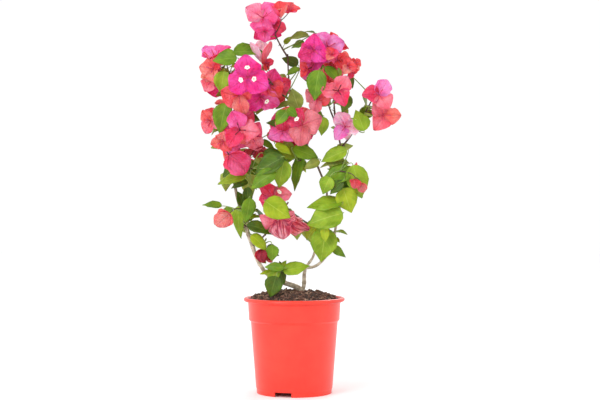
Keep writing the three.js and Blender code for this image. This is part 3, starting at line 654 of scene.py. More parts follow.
# Column and row of a leaf's base and of its tip, its depth in mm, its face as (right, near, up), its width
# over its length, and its tint
leaves_seen = (
    (237, 58, 213, 60, -52, (-0.2, 0.9, 0.4), 0.8, "mid"),
    (233, 52, 263, 51, -36, (0.0, 0.75, 0.65), 0.62, "mid"),
    (224, 71, 221, 93, -56, (-0.1, 1, 0.2), 0.7, "fresh"),
    (309, 36, 287, 38, -18, (0, 0.6, 0.8), 0.6, "olive"),
    (305, 43, 291, 46, -8, (0, 0.75, 0.7), 0.85, "mid"),
    (315, 33, 304, 31, -24, (0, 0.3, 0.9), 0.7, "deep"),
    (320, 37, 330, 34, -22, (0, 0.3, 0.9), 0.7, "lime"),
    (319, 70, 313, 99, -60, (-0.2, 1, 0.3), 0.72, "mid"),
    (325, 67, 342, 81, -50, (0.2, 0.7, 0.6), 0.6, "mid"),
    (349, 95, 343, 112, -38, (0.1, 1, 0.2), 0.7, "deep"),
    (348, 75, 353, 88, -24, (0.2, 0.9, 0.3), 0.6, "deep"),
    (299, 109, 291, 89, -46, (-0.3, 0.9, 0.2), 0.7, "olive"),
    (298, 65, 283, 57, 8, (0, 0.9, 0.4), 0.7, "deep"),
    (299, 68, 286, 74, -20, (0, 0.8, 0.5), 0.6, "mid"),
    (364, 131, 357, 110, -34, (0.2, 1, 0.2), 0.74, "fresh"),
    (310, 108, 324, 117, -30, (0, 0.8, 0.6), 0.6, "mid"),
    (324, 117, 322, 135, -42, (0.1, 0.9, 0.3), 0.6, "fresh"),
    (226, 103, 220, 133, -50, (-0.3, 1, 0.2), 0.68, "mid"),
    (246, 177, 218, 181, -50, (0, 0.6, 0.8), 0.56, "fresh"),
    (248, 182, 231, 187, -36, (0, 0.7, 0.6), 0.6, "deep"),
    (284, 157, 254, 172, -56, (-0.1, 0.9, 0.4), 0.66, "deep"),
    (284, 160, 278, 187, -50, (0.2, 1, 0.3), 0.66, "fresh"),
    (276, 172, 250, 186, -62, (-0.1, 0.9, 0.4), 0.6, "mid"),
    (263, 153, 286, 158, -40, (0, 0.8, 0.6), 0.6, "deep"),
    (275, 144, 291, 153, -46, (0.1, 0.7, 0.7), 0.6, "lime"),
    (287, 111, 275, 124, -70, (-0.1, 1, 0.3), 0.8, "mid"),
    (287, 109, 298, 116, -74, (0.1, 1, 0.4), 0.75, "mid"),
    (283, 125, 267, 122, -40, (0, 0.8, 0.5), 0.6, "deep"),
    (293, 148, 317, 158, -28, (0, 0.9, 0.5), 0.66, "mid"),
    (302, 152, 293, 190, -16, (-0.4, 0.9, 0.1), 0.3, "mid"),
    (320, 161, 304, 168, -26, (0, 0.8, 0.5), 0.6, "olive"),
    (347, 150, 322, 161, -42, (-0.1, 0.9, 0.5), 0.62, "fresh"),
    (352, 172, 324, 176, -48, (0, 0.9, 0.5), 0.74, "mid"),
    (330, 177, 322, 193, -56, (-0.2, 1, 0.2), 0.85, "fresh"),
    (353, 165, 361, 197, -56, (0.2, 1, 0.2), 0.7, "fresh"),
    (343, 188, 351, 212, -50, (0, 1, 0.2), 0.8, "lime"),
    (345, 180, 345, 199, -36, (0.1, 1, 0.2), 0.6, "deep"),
    (342, 202, 308, 206, -52, (0, 0.65, 0.75), 0.62, "fresh"),
    (343, 213, 308, 223, -60, (-0.1, 0.9, 0.4), 0.78, "fresh"),
    (326, 228, 321, 261, -46, (0, 1, 0.2), 0.8, "fresh"),
    (222, 206, 203, 204, -16, (0, 0.7, 0.75), 0.55, "mid"),
    (238, 206, 239, 238, -20, (-0.4, 0.9, 0.1), 0.4, "fresh"),
    (248, 187, 246, 208, -42, (0.2, 1, 0.1), 0.5, "deep"),
    (250, 198, 247, 222, -52, (0.1, 1, 0.2), 0.55, "mid"),
    (265, 201, 289, 218, -80, (-0.1, 1, 0.3), 0.8, "lime"),
    (247, 225, 275, 231, -42, (0, 0.8, 0.5), 0.5, "deep"),
    (251, 235, 268, 249, -48, (0.1, 0.8, 0.5), 0.6, "lime"),
    (272, 245, 273, 261, -42, (0.1, 1, 0.2), 0.75, "mid"),
    (284, 268, 265, 266, -48, (0, 0.9, 0.5), 0.55, "mid"),
    (279, 270, 267, 282, -40, (-0.1, 1, 0.2), 0.6, "fresh"),
    (290, 103, 275, 108, -36, (0, 0.8, 0.6), 0.5, "olive"),
    (331, 247, 346, 256, -30, (0, 0.8, 0.5), 0.55, "mid"),
    (276, 276, 270, 297, -56, (0, 1, 0.2), 0.85, "deep"),
    (279, 270, 285, 284, -34, (0.1, 1, 0.1), 0.6, "deep"),
    (283, 271, 309, 266, -44, (0.1, 0.8, 0.5), 0.62, "fresh"),
    (343, 181, 330, 193, -58, (0, 1, 0.3), 0.6, "deep"),
    (324, 226, 326, 242, -62, (0, 0.9, 0.3), 0.5, "lime"),
    (261, 141, 275, 147, -30, (0, 0.8, 0.5), 0.55, "mid"),
    (345, 160, 320, 165, -38, (0, 0.7, 0.7), 0.5, "olive"),
)
# A shown leaf's bend and fold, and its length over the distance from its base to its tip
SEEN_LEAF_BEND, SEEN_LEAF_FOLD, LENGTH_OVER_CHORD = 0.6, 0.22, 1.06

# Columns, rows and radii of round patches of the picture where the rule's own growth is left out: open sky
# within and beside the crown, and the places where it would hide what the photograph shows
sky = (
    (198, 142, 11), (363, 150, 9), (222, 32, 20), (236, 26, 17), (300, 20, 14), (352, 28, 16),
    (378, 60, 17), (297, 84, 9), (268, 118, 9), (196, 106, 10), (357, 50, 9), (372, 134, 8), (276, 54, 8),
    (256, 114, 6), (332, 110, 8), (277, 241, 8), (348, 240, 8), (353, 156, 9), (318, 148, 9),
    (334, 141, 8), (248, 246, 8), (286, 248, 8), (293, 199, 11), (232, 148, 6), (204, 160, 20),
    (212, 190, 16), (301, 180, 8), (308, 190, 13), (302, 212, 13), (316, 172, 7), (380, 152, 20),
    (390, 175, 22), (382, 210, 20), (365, 230, 16), (300, 250, 12), (257, 200, 6), (224, 250, 18),
    (206, 236, 14), (238, 262, 12), (318, 275, 10), (345, 262, 14), (289, 28, 11), (269, 62, 9),
    (218, 168, 9), (193, 74, 9), (206, 109, 8), (398, 90, 11), (359, 92, 7), (358, 142, 8), (231, 203, 7),
    (257, 123, 8), (286, 188, 7), (199, 72, 9), (277, 61, 9), (315, 172, 7), (359, 106, 7), (332, 100, 7),
    (256, 204, 7), (256, 267, 8), (203, 70, 8), (224, 163, 9), (324, 165, 9), (321, 158, 7),
    (251, 248, 12), (277, 42, 9), (356, 99, 9), (311, 218, 9), (207, 90, 8), (262, 152, 7),
    (194, 128, 12), (199, 87, 8), (295, 79, 8), (361, 73, 6), (288, 283, 9), (273, 71, 7), (364, 130, 5),
    (227, 174, 3), (267, 224, 3), (328, 182, 3), (368, 126, 4), (267, 7, 4), (212, 137, 3), (250, 260, 4),
    (268, 246, 5), (220, 226, 4), (364, 173, 3), (259, 63, 3),
)


def home(place):
    """The mass whose heart is nearest, as a share of its reach in that direction."""
    return names[int(np.argmin(np.linalg.norm((place - hearts) / reaches, axis=1)))]


def seen_bloom(row, depth):
    """A bloom of the table: its axis and the spoke of its first bract, and the other two a third of a turn
    on each side of that. The bracts of a closed one bend inwards and meet at their tips. Those of a
    half-open one stand up and curve inwards a little, as a tulip's do."""
    column, line, _, axis, first, opening, length, tints, stars = row
    centre = seen_at(column, line, depth)
    axis = faced(*axis)
    first = faced(*first)
    side = unit(first - (first @ axis) * axis)
    spoke = spokes(side, np.cross(side, axis))
    bend, form = BRACT_BEND, BRACT_FORM
    if opening < HALF_OPEN:
        bend, form = HALF_OPEN_BEND, HALF_OPEN_FORM
    if opening < CLOSED:
        bend, form = CLOSED_BEND, CLOSED_FORM
    blades = bract_blades(centre, axis, spoke, math.radians(opening), length, bend, form)
    flowers = centre + (0.8 * axis + spoke) * 0.38 * length
    samples = np.concatenate([blade_points(*blades, *BRACT_SAMPLES).reshape(-1, 3), flowers])
    return {"is_bloom": True, "joint": centre, "lead": axis * 0.45 * length, "axis": axis, "blades": blades,
            "tints": tints, "stars": stars, "samples": samples}


def seen_leaf(row, depth):
    """A leaf of the table, from its base towards its tip, its face turned to be square to that."""
    base_column, base_line, tip_column, tip_line, _, face, width, tint = row
    base = seen_at(base_column, base_line, depth)
    along = seen_at(tip_column, tip_line, depth) - base
    length = np.linalg.norm(along) * LENGTH_OVER_CHORD
    form = (width, LEAF_FORM[1], SEEN_LEAF_FOLD)
    blades = (base[None], blade_axes(along, faced(*face))[None], np.array([length]),
              np.array([SEEN_LEAF_BEND]), form)
    return {"is_bloom": False, "joint": base, "lead": unit(along) * 9, "blades": blades, "tints": (tint,),
            "samples": blade_points(*blades, *sample_grid(form)).reshape(-1, 3)}


all_shoots = tuple(np.concatenate(column) for column in zip(*shoot_lines.values()))
all_limbs = tuple(np.concatenate(column) for column in zip(*limb_lines))

# Joints further apart than this can't bring their blades together, mm
NEIGHBOURS, FAR_NEIGHBOURS = 95, 110
# What a mm of shift in depth costs, and what a stalk costs that passes closer than this to a blade, mm
SHIFT_COST, CROWDED, CROWDING_COST = 0.02, 3.5, 15


def set_clear(make, row, depth, standing):
    """The bloom or leaf at the depth nearest to its own at which it is clear of wood and of those that
    stand already, or at the one with the most room if none is. Its stalk leaves the shoot where it would
    be short, rise, and pass clear of the mass's other blades."""
    best = None
    for step in DEPTH_STEPS:
        item = make(row, depth + step)
        samples = item["samples"]
        room = room_around(samples, [o["samples"] for o in standing
                                     if np.linalg.norm(o["joint"] - item["joint"]) < NEIGHBOURS])
        wood = min(least_gap(samples, all_limbs).min(), least_gap(samples, all_shoots).min())
        shift = SHIFT_COST * abs(step)
        score = min(room - TOUCHING, wood - CLEAR_OF_WOOD, 0) - shift
        if best is None or score > best[0]:
            best = (score, item)
        if score >= -shift:
            break
    item = best[1]
    name = home(item["samples"].mean(axis=0))
    item["mass"] = name
    feet = shoot_points(name, np.linspace(0.25, 0.98, 25))
    gone = [o["samples"] for o in standing if o["mass"] == name]
    others = np.concatenate(gone + [np.full((1, 3), 1e6)])
    reach = item["joint"] - item["lead"] - feet
    cost = np.linalg.norm(reach, axis=1) - 0.25 * reach[:, 2]
    for share in (0.4, 0.7):
        cost = cost + CROWDING_COST * (distances(feet + reach * share, others).min(axis=1) < CROWDED)
    item["foot"] = feet[int(np.argmin(cost))]
    return item


shown = []
for make, table, depth_column in ((seen_bloom, blooms_seen, 2), (seen_leaf, leaves_seen, 4)):
    for row in table:
        shown.append(set_clear(make, row, row[depth_column], shown))

# The rule's own growth gives way within this many mm of what is shown, or pixels where it stands before it
AROUND_SHOWN, HIDES_WITHIN = 4.5, 15


def gives_way(item):
    """True for growth of the rule that touches what the photograph shows, hides it, or fills its sky."""
    middle = item["samples"].mean(axis=0)
    spot = seen_from(middle)
    for column, line, radius in sky:
        if math.hypot(spot[0] - column, spot[1] - line) < radius:
            return True
    for other in shown:
        if np.linalg.norm(other["joint"] - item["joint"]) > FAR_NEIGHBOURS:
            continue
        if distances(other["samples"], item["samples"]).min() < AROUND_SHOWN:
            return True
        heart = other["samples"].mean(axis=0)
        if middle[1] < heart[1] and np.linalg.norm(seen_from(heart) - spot) < HIDES_WITHIN:
            return True
    return False


for name in names:
    for item in placed[name]:
        item["lead"] = 0.5 * (item["joint"] - item["foot"])
    placed[name] = [item for item in placed[name] if not gives_way(item)]


# Finer growth on those twigs, within the same reach: smaller blooms beside the larger, small leaves in the
# angles of the stalks and along the shoots, and thorns

# A small leaf's width over length, where widest, and fold, and the least gaps of finer growth, mm
SMALL_LEAF_FORM = (0.66, 0.38, 0.25)
FINE_TO_LIMB, FINE_TO_SHOOT, FINE_TO_BLADE = 2, 1, 3.2
# Ways tried, the shortest stalk in mm that bears finer growth, and the range of new stalks in mm. For
# blooms, the range of their length over a bract's, and how far they turn and open in radians. For leaves,
# the range of their length in mm
BLOOM_TRIES, BLOOM_STALK, BLOOM_TWIGS, BLOOM_SHARES = 14, 12, (14, 30), (0.58, 0.86)
BLOOM_TURNS, BLOOM_OPENINGS = 6.3, (0.7, 1.25)
LEAF_TRIES, LEAF_STALK, LEAF_TWIGS, LEAF_LENGTHS = 8, 15, (4, 11), (15, 32)


def grows_clear(name, samples, taken):
    """True where a blade keeps to its mass's space, clear of wood and of the blades around it."""
    return (
        inside_own_space(name, samples)
        and (least_gap(samples[1:], other_lines[name]) > FINE_TO_LIMB).all()
        and (least_gap(samples[1:], shoot_lines[name]) > FINE_TO_SHOOT).all()
        and room_around(samples, taken) > FINE_TO_BLADE
        and not gives_way({"samples": samples, "joint": samples[0]})
    )


def finer_blooms(name, items, taken, random):
    """Smaller blooms on side twigs of the blooms' stalks, each leaning away from the stalk it leaves."""
    finer = []
    for item in items:
        stalk = item["joint"] - item["foot"]
        if not item["is_bloom"] or np.linalg.norm(stalk) < BLOOM_STALK:
            continue
        for attempt in range(BLOOM_TRIES):
            foot = item["foot"] + stalk * random.uniform(0.35, 0.75)
            way = unit(unit(stalk) + random.normal(size=3) * (0.7 + 0.05 * attempt))
            joint = foot + way * random.uniform(*BLOOM_TWIGS)
            axis = unit(way + 0.4 * outward_at(joint) + 0.2 * UP)
            length = BRACT_LENGTH * random.uniform(*BLOOM_SHARES)
            turn = random.random() * BLOOM_TURNS
            blades = bracts_round(joint, axis, length, turn, random.uniform(*BLOOM_OPENINGS))
            samples = blade_points(*blades, *BRACT_SAMPLES).reshape(-1, 3)
            if grows_clear(name, samples, taken):
                taken.append(samples)
                finer.append({"mass": name, "is_bloom": True, "foot": foot, "joint": joint, "axis": axis,
                              "lead": 0.5 * (joint - foot), "blades": blades})
                break
    return finer


def finer_leaves(name, items, taken, random):
    """Small leaves on short stalks along the mass's shoot, turning by the golden angle from one to the
    next, and from the longer stalks of its leaves and blooms. Each keeps to the mass's own space and
    clear of limbs and of the larger blades."""
    starts = []
    shares = np.linspace(0.2, 0.97, 11)
    points = shoot_points(name, shares)
    tangents = unit(shoot_points(name, shares + 0.02) - points)
    for i, (point, tangent) in enumerate(zip(points, tangents)):
        side = unit(np.cross(tangent, [0.2, 1, 0.1]))
        other = np.cross(tangent, side)
        turn = i * GOLDEN_TURN + random.random() * 0.5
        starts.append((point, unit(math.cos(turn) * side + math.sin(turn) * other + 0.5 * tangent), 1.0))
    for item in items:
        stalk = item["joint"] - item["foot"]
        if np.linalg.norm(stalk) > LEAF_STALK:
            away = unit(np.cross(stalk, random.normal(size=3)) / 20 + unit(stalk))
            starts.append((item["foot"] + stalk * random.uniform(0.35, 0.7), away, 0.75))
    small = []
    for start, direction, scale in starts:
        for attempt in range(LEAF_TRIES):
            way = unit(direction + random.normal(size=3) * (0.15 + 0.12 * attempt))
            joint = start + way * random.uniform(*LEAF_TWIGS) * scale
            length = random.uniform(*LEAF_LENGTHS) * scale
            along = way + 0.25 * outward_at(start) - 0.5 * UP
            face = 0.7 * UP + 0.7 * outward_at(start) + random.normal(size=3) * 0.3
            blades = (joint[None], blade_axes(along, face)[None], np.array([length]),
                      np.array([random.uniform(0.4, 0.9)]), SMALL_LEAF_FORM)
            samples = blade_points(*blades, *LEAF_SAMPLES).reshape(-1, 3)
            if grows_clear(name, samples, taken):
                taken.append(samples)
                small.append({"mass": name, "is_bloom": False, "foot": start, "joint": joint,
                              "lead": 0.5 * (joint - start), "blades": blades})
                break
    return small


# Blades as they are drawn

def blade_grid(rows, columns):
    """The shares and sides of one blade's corners, closer together near its base and tip, and its faces:
    a fan at its base, rows of quads, and a fan at its tip."""
    row_shares = 0.5 - 0.5 * np.cos(np.pi * np.arange(1, rows + 1) / (rows + 1))
    shares = np.concatenate([[0], np.repeat(row_shares, columns), [1]])
    sides = np.concatenate([[0], np.tile(np.linspace(-1, 1, columns), rows), [0]])
    grid = 1 + np.arange(rows * columns).reshape(rows, columns)
    quads = np.stack([grid[:-1, :-1], grid[1:, :-1], grid[1:, 1:], grid[:-1, 1:]], axis=-1).reshape(-1, 4)
    base, tip = np.zeros(columns - 1, int), np.full(columns - 1, 1 + rows * columns)
    base_fan = np.stack([base, grid[0, :-1], grid[0, 1:]], axis=-1)
    tip_fan = np.stack([grid[-1, :-1], tip, grid[-1, 1:]], axis=-1)
    return shares, sides, (quads, np.concatenate([base_fan, tip_fan]))


# How each kind of blade is drawn: its grid, the power of the sine that makes its outline, how much its
# last part narrows, its ripple and its crumple over its length, and its width over the solid's
leaf_style = {"grid": blade_grid(7, 7), "power": 0.8, "point": 0.5, "wave": 0.03, "crumple": 0.035,
              "wide": 1.0}
bract_style = {"grid": blade_grid(9, 9), "power": 0.6, "point": 0.2, "wave": 0.09, "crumple": 0.15,
               "wide": 1.2}
# The ranges of a blade's own draws: its bend and width beside its kind's, the ripples along it, its twist,
# its fold beside its kind's, and its sideways curl over its length
OWN_BEND, OWN_WIDTH, OWN_RIPPLES = (-0.55, 0.25), (0.91, 1.05), (1.2, 2.2)
OWN_TWIST, OWN_FOLD, OWN_CURL = (-0.35, 0.35), (0.3, 1.5), (-0.07, 0.07)
# The share of its length from which a blade narrows and the share over which it does, and how much of its
# draws a closed or half-open bloom's blade takes
NARROWS_FROM, NARROWS_OVER, CLOSER_TO_FORM = 0.55, 0.45, 0.2
# Lumps of crumple along, across and from one blade to the next, and the lumps along its edges
CRUMPLES, EDGE_LUMPS = (3.1, 1.7, 7.31), 4


def drawn_blades(blades, style, random):
    """The source's blades on a finer grid. The outline is the sine of pi times the share to a power that
    puts its top at the widest place. The edges lift with the square of the side, and they ripple by
    a sine along the blade, out of step on its two sides. Soft noise crumples the blade, most at its
    edges. Each blade also has a little more or less width, twist and sideways curl, by draws of its own.
    Those of closed and half-open blooms, which bend the other way, keep five times closer to their
    form."""
    base, axes, length, bend = (np.concatenate([blade[k] for blade in blades]) for k in range(4))
    length, bend = length[:, None], bend[:, None]
    forms = np.concatenate([np.repeat([blade[4]], len(blade[0]), axis=0) for blade in blades])
    width, widest, fold = (forms[:, k : k + 1] for k in range(3))
    count = len(base)

    def own(limits):
        return random.uniform(*limits, (count, 1))

    share, side, faces = style["grid"]
    loose = np.where(bend < 0, CLOSER_TO_FORM, 1.0)
    run, rise = blade_arc(share, length, bend * (1 + loose * own(OWN_BEND)))
    narrowing = 1 - style["point"] * np.clip((share - NARROWS_FROM) / NARROWS_OVER, 0, 1) ** 2
    half = half_width(share, widest, style["power"]) * narrowing * length * width * style["wide"] / 2
    half = half * own(OWN_WIDTH)
    number = np.arange(count)[:, None] * CRUMPLES[2]
    level = np.broadcast_arrays(share * CRUMPLES[0], side * CRUMPLES[1], number)
    crumple = layered_noise(np.stack(level, axis=-1), 2, 17)
    lumps = np.broadcast_arrays(share * EDGE_LUMPS, np.sign(side), number)
    edge = soft_noise(np.stack(lumps, axis=-1), 23)
    phase = random.random((count, 1)) * 2 * np.pi
    ripple = np.sin(2 * np.pi * own(OWN_RIPPLES) * share + phase + 2.2 * (side > 0))
    twist = loose * own(OWN_TWIST) * (share - 0.2)
    lift = rise + fold * half * side**2 * own(OWN_FOLD) + half * side * twist
    lift = lift + loose * style["wave"] * length * side**2 * ripple * np.sin(np.pi * share)
    lift = lift + style["crumple"] * length * loose * crumple * (0.25 + 0.75 * np.abs(side)) * np.sqrt(share)
    sideways = half * side * (1 + style["crumple"] * 1.6 * edge)
    sideways = sideways + loose * own(OWN_CURL) * length * share**2
    offsets = np.stack([run, lift, sideways], axis=-1)
    places = (base[:, None] + offsets @ axes) * MM
    uv = np.tile(np.stack([0.5 + 0.5 * side, share], axis=-1), (count, 1))
    return places.reshape(-1, 3), repeated(faces, count, len(share)), uv


def thin_sheet(piece, thickness):
    """Gives a piece of blades its thickness below its upper face, with the next material on that side."""
    sheet = piece.modifiers.new("thickness", "SOLIDIFY")
    sheet.thickness = thickness
    sheet.offset = -1
    sheet.material_offset = 1


# Materials

# How two colours are strewn: how far a seed shifts the noise along X, Y and Z, its stretch, its layers and
# their roughness, and the span of it over which one colour gives way to the other. Streaks run up the plant.
PATCHES = {"shift": (1, 2, 3), "stretch": (1, 1, 1), "layers": 3, "rough": 0.55, "span": (0.36, 0.64)}
STREAKS = {"shift": (1, 0, 0), "stretch": (1, 1, 0.35), "layers": 4, "rough": 0.65, "span": (0.35, 0.68)}


def mottled(tree, dark, light, scale, seed, strewn=PATCHES):
    """Two colours mixed by noise in Object coordinates, its scale in patches to the metre, and the noise."""
    place = add_node(tree, "TexCoord")["Object"]
    shift = [seed * step for step in strewn["shift"]]
    shifted = add_node(tree, "Mapping", {"Vector": place, "Location": shift, "Scale": strewn["stretch"]})
    noise = add_node(tree, "TexNoise", {"Vector": shifted[0], "Scale": scale, "Detail": strewn["layers"],
                                        "Roughness": strewn["rough"]})
    low, high = strewn["span"]
    share = add_node(tree, "MapRange", {"Value": noise["Fac"], "From Min": low, "From Max": high})
    mixed = add_node(tree, "Mix", {"Factor": share["Result"], 6: linear(dark), 7: linear(light)},
                     data_type="RGBA")
    return mixed[2], noise["Fac"]


def finish(tree, colour, roughness, relief=None, sockets=None):
    """The surface's shader: its colour, its roughness and what else its kind has. Its relief is a height
    that bends the light, the strength of that and the depth in metres."""
    inputs = {"Base Color": colour, "Roughness": roughness, **(sockets or {})}
    if relief:
        height, strength, depth = relief
        bump = add_node(tree, "Bump", {"Height": height, "Strength": strength, "Distance": depth})
        inputs["Normal"] = bump["Normal"]
    shader = add_node(tree, "BsdfPrincipled", inputs)
    add_node(tree, "OutputMaterial", {"Surface": shader["BSDF"]})


def strewn_skin(name, dark, light, scale, seed, roughness, strength, depth, sockets=None, strewn=PATCHES):
    """A skin of two colours strewn over it, with relief from the same noise."""
    material, tree = new_material(name)
    colour, grain = mottled(tree, dark, light, scale, seed, strewn)
    finish(tree, colour, roughness, (grain, strength, depth), sockets)
    return material


def woody_skin(name, dark, light, seed, scale):
    """Bark, stalks and the down of flower tubes: dull and rough, with pale and dark streaks that run up
    the plant."""
    return strewn_skin(name, dark, light, scale, seed, 0.8, 0.7, 0.0006, strewn=STREAKS)


def blade_lines(tree, slant, count, rib, faint):
    """The midrib and the fainter side veins of a blade, from its UV map, and its v: u runs across it and v
    from base to tip. Side veins lie where v, less the slant times the distance from the midrib and with
    a little noise, is a whole number of spacings."""
    uv = add_node(tree, "UVMap", uv_map="blade")["UV"]
    parts = add_node(tree, "SeparateXYZ", {"Vector": uv})
    across = add_node(tree, "Math", {0: parts["X"], 1: 2.0, 2: -1.0}, operation="MULTIPLY_ADD")[0]
    across = add_node(tree, "Math", {0: across}, operation="ABSOLUTE")[0]
    ridge = add_node(tree, "MapRange", {"Value": across, "From Min": rib, "From Max": rib * 0.2})
    place = add_node(tree, "Math", {0: across, 1: -slant, 2: parts["Y"]}, operation="MULTIPLY_ADD")[0]
    wander = add_node(tree, "TexNoise", {"Vector": uv, "Scale": 6.0, "Detail": 1.0})
    place = add_node(tree, "Math", {0: wander["Fac"], 1: 0.05, 2: place}, operation="MULTIPLY_ADD")[0]
    cycle = add_node(tree, "Math", {0: place, 1: float(count)}, operation="MULTIPLY")[0]
    cycle = add_node(tree, "Math", {0: cycle, 1: 0.5}, operation="PINGPONG")[0]
    vein = add_node(tree, "MapRange", {"Value": cycle, "From Min": 0.12, "From Max": 0.0})
    veined = add_node(tree, "Math", {0: vein["Result"], 1: faint}, operation="MULTIPLY")[0]
    lines = add_node(tree, "Math", {0: ridge["Result"], 1: veined}, operation="MAXIMUM")
    return lines[0], parts["Y"]


# Patches of a leaf 18 mm wide and of a bract 21 mm wide, and crinkles of a bract 5 mm wide, to the metre
LEAF_PATCHES, BRACT_PATCHES, CRINKLES = 55.0, 48.0, 190.0
# Streaks of painted crease shade across a bract and of painted pleat shade across a pleated one, the
# strength from which a bract is pleated, and how many times their pattern changes in a metre
STREAKS_ACROSS, PLEATS_ACROSS, PLEATED, STREAKS_STREWN = 7.0, 13.0, 0.5, (26.0, 26.0, 26.0)
LEAF_SHADER = {"IOR": 1.4, "Subsurface Weight": 0.2, "Subsurface Scale": 0.002, "Specular IOR Level": 0.35}
BRACT_SHADER = {"IOR": 1.4, "Subsurface Weight": 0.45, "Subsurface Scale": 0.005}


def leaf_skin(name, dark, light, rib, roughness, seed):
    """Skin of a leaf: waxy, with a pale midrib and faint side veins. The wax gives a soft shine, and
    light that soaks in a little keeps the shade between leaves green."""
    material, tree = new_material(name)
    colour = mottled(tree, dark, light, LEAF_PATCHES, seed)[0]
    lines = blade_lines(tree, 0.42, 6, 0.05, 0.35)[0]
    share = add_node(tree, "Math", {0: lines, 1: 0.42}, operation="MULTIPLY")[0]
    ribbed = add_node(tree, "Mix", {"Factor": share, 6: colour, 7: linear(rib)}, data_type="RGBA")
    finish(tree, ribbed[2], roughness, sockets=LEAF_SHADER)
    return material


def bract_skin(name, dark, light, rib, heart, streaks, seed):
    """A papery bract: matt and thin, with darker veins, and streaks of painted shade in its creases from the
    heart outwards. Near the heart its colour darkens to another hue, partly its own colour and partly
    painted shade in the bloom's shaded middle. Crinkles a few millimetres wide break up its shading, and
    light that soaks in a little evens it out. A pleated one has strong, narrow streaks of painted shade
    in its pleats."""
    material, tree = new_material(name)
    colour = mottled(tree, dark, light, BRACT_PATCHES, seed)[0]
    lines, along = blade_lines(tree, 0.5, 7, 0.06, 0.45)
    # Towards the heart the colour mixes to the heart's: partly the bract's own hue, partly painted shade.
    depth = add_node(tree, "MapRange", {"Value": along, "From Min": 0.45, "From Max": 0.02, "To Max": 0.6})
    colour = add_node(tree, "Mix", {"Factor": depth["Result"], 6: colour, 7: linear(heart)},
                      data_type="RGBA")[2]
    place = add_node(tree, "TexCoord")["Object"]
    blade = add_node(tree, "UVMap", uv_map="blade")["UV"]
    across = STREAKS_ACROSS if streaks < PLEATED else PLEATS_ACROSS
    wide = add_node(tree, "Mapping", {"Vector": blade, "Scale": (across, 1.1, 1.0)})[0]
    strewn = add_node(tree, "Mapping", {"Vector": place, "Scale": STREAKS_STREWN})[0]
    creased = add_node(tree, "VectorMath", {0: wide, 1: strewn}, operation="ADD")[0]
    crease = add_node(tree, "TexNoise", {"Vector": creased, "Scale": 1.0, "Detail": 2.0})
    # Painted shade: darker streaks where the bract is creased, strong and narrow in a pleated bract.
    crease_shade = add_node(tree, "MapRange",
                      {"Value": crease["Fac"], "From Min": 0.47, "From Max": 0.8 - 0.26 * streaks,
                       "To Max": streaks})
    # The mix to the vein colour paints the veins, and through the crease streaks it paints shade.
    share = add_node(tree, "Math", {0: lines, 1: 0.32}, operation="MULTIPLY")[0]
    share = add_node(tree, "Math", {0: share, 1: crease_shade["Result"]}, operation="MAXIMUM")[0]
    ribbed = add_node(tree, "Mix", {"Factor": share, 6: colour, 7: linear(rib)}, data_type="RGBA")
    crinkle = add_node(tree, "TexNoise", {"Vector": place, "Scale": CRINKLES, "Detail": 2.0})
    height = add_node(tree, "Math", {0: crinkle["Fac"], 1: 2.0, 2: lines}, operation="MULTIPLY_ADD")[0]
    finish(tree, ribbed[2], 0.62, (height, 0.9, 0.0015), BRACT_SHADER)
    return material


# Tints of leaf, darkest to freshest, and of bract: two colours that mix in soft patches, the veins' (for a
# bract also its painted crease shade), and for a bract the colour at the bloom's heart: partly the bract's
# own hue and partly painted shade in the bloom's shaded middle
leaf_tints = {
    "deep": ("#36500A", "#4E6E12", "#7C9A44"),
    "mid": ("#4E7408", "#6C9016", "#98B24C"),
    "fresh": ("#6C8E12", "#8CAA26", "#B2C65C"),
    "lime": ("#7E9810", "#9EB222", "#BCCE5C"),
    "olive": ("#667426", "#8C9A40", "#B2B26A"),
}
bract_tints = {
    "magenta": ("#EC147E", "#FF4AA6", "#B2045A", "#D00A5E"),
    "deep_magenta": ("#CE1A68", "#EE4690", "#8E0640", "#B40C4A"),
    "hot_pink": ("#FA3A86", "#FF72B2", "#C61460", "#EC2E68"),
    "orchid": ("#F25EB0", "#FF98D0", "#C03488", "#E6387C"),
    "pale_pink": ("#FA96BA", "#FFD2E0", "#D25A88", "#E84262"),
    "soft_pink": ("#FA6E94", "#FFA4C2", "#CC3A68", "#EC4868"),
    "rose": ("#EE2456", "#FC5A86", "#B00A38", "#CE163A"),
    "coral_pink": ("#FE5A72", "#FF8A9E", "#CE2646", "#F24048"),
    "coral": ("#F85A5E", "#FF8E88", "#CE2C3A", "#EC3E44"),
    "coral_red": ("#F03242", "#FC606A", "#B41426", "#D2202E"),
    "dusty": ("#DA5A68", "#EE828E", "#B0303E", "#D0403E"),
    "striped": ("#F6607A", "#FFA0AE", "#A60A38", "#C62040"),
    "crimson": ("#940E26", "#C42840", "#660416", "#7C0A1C"),
}

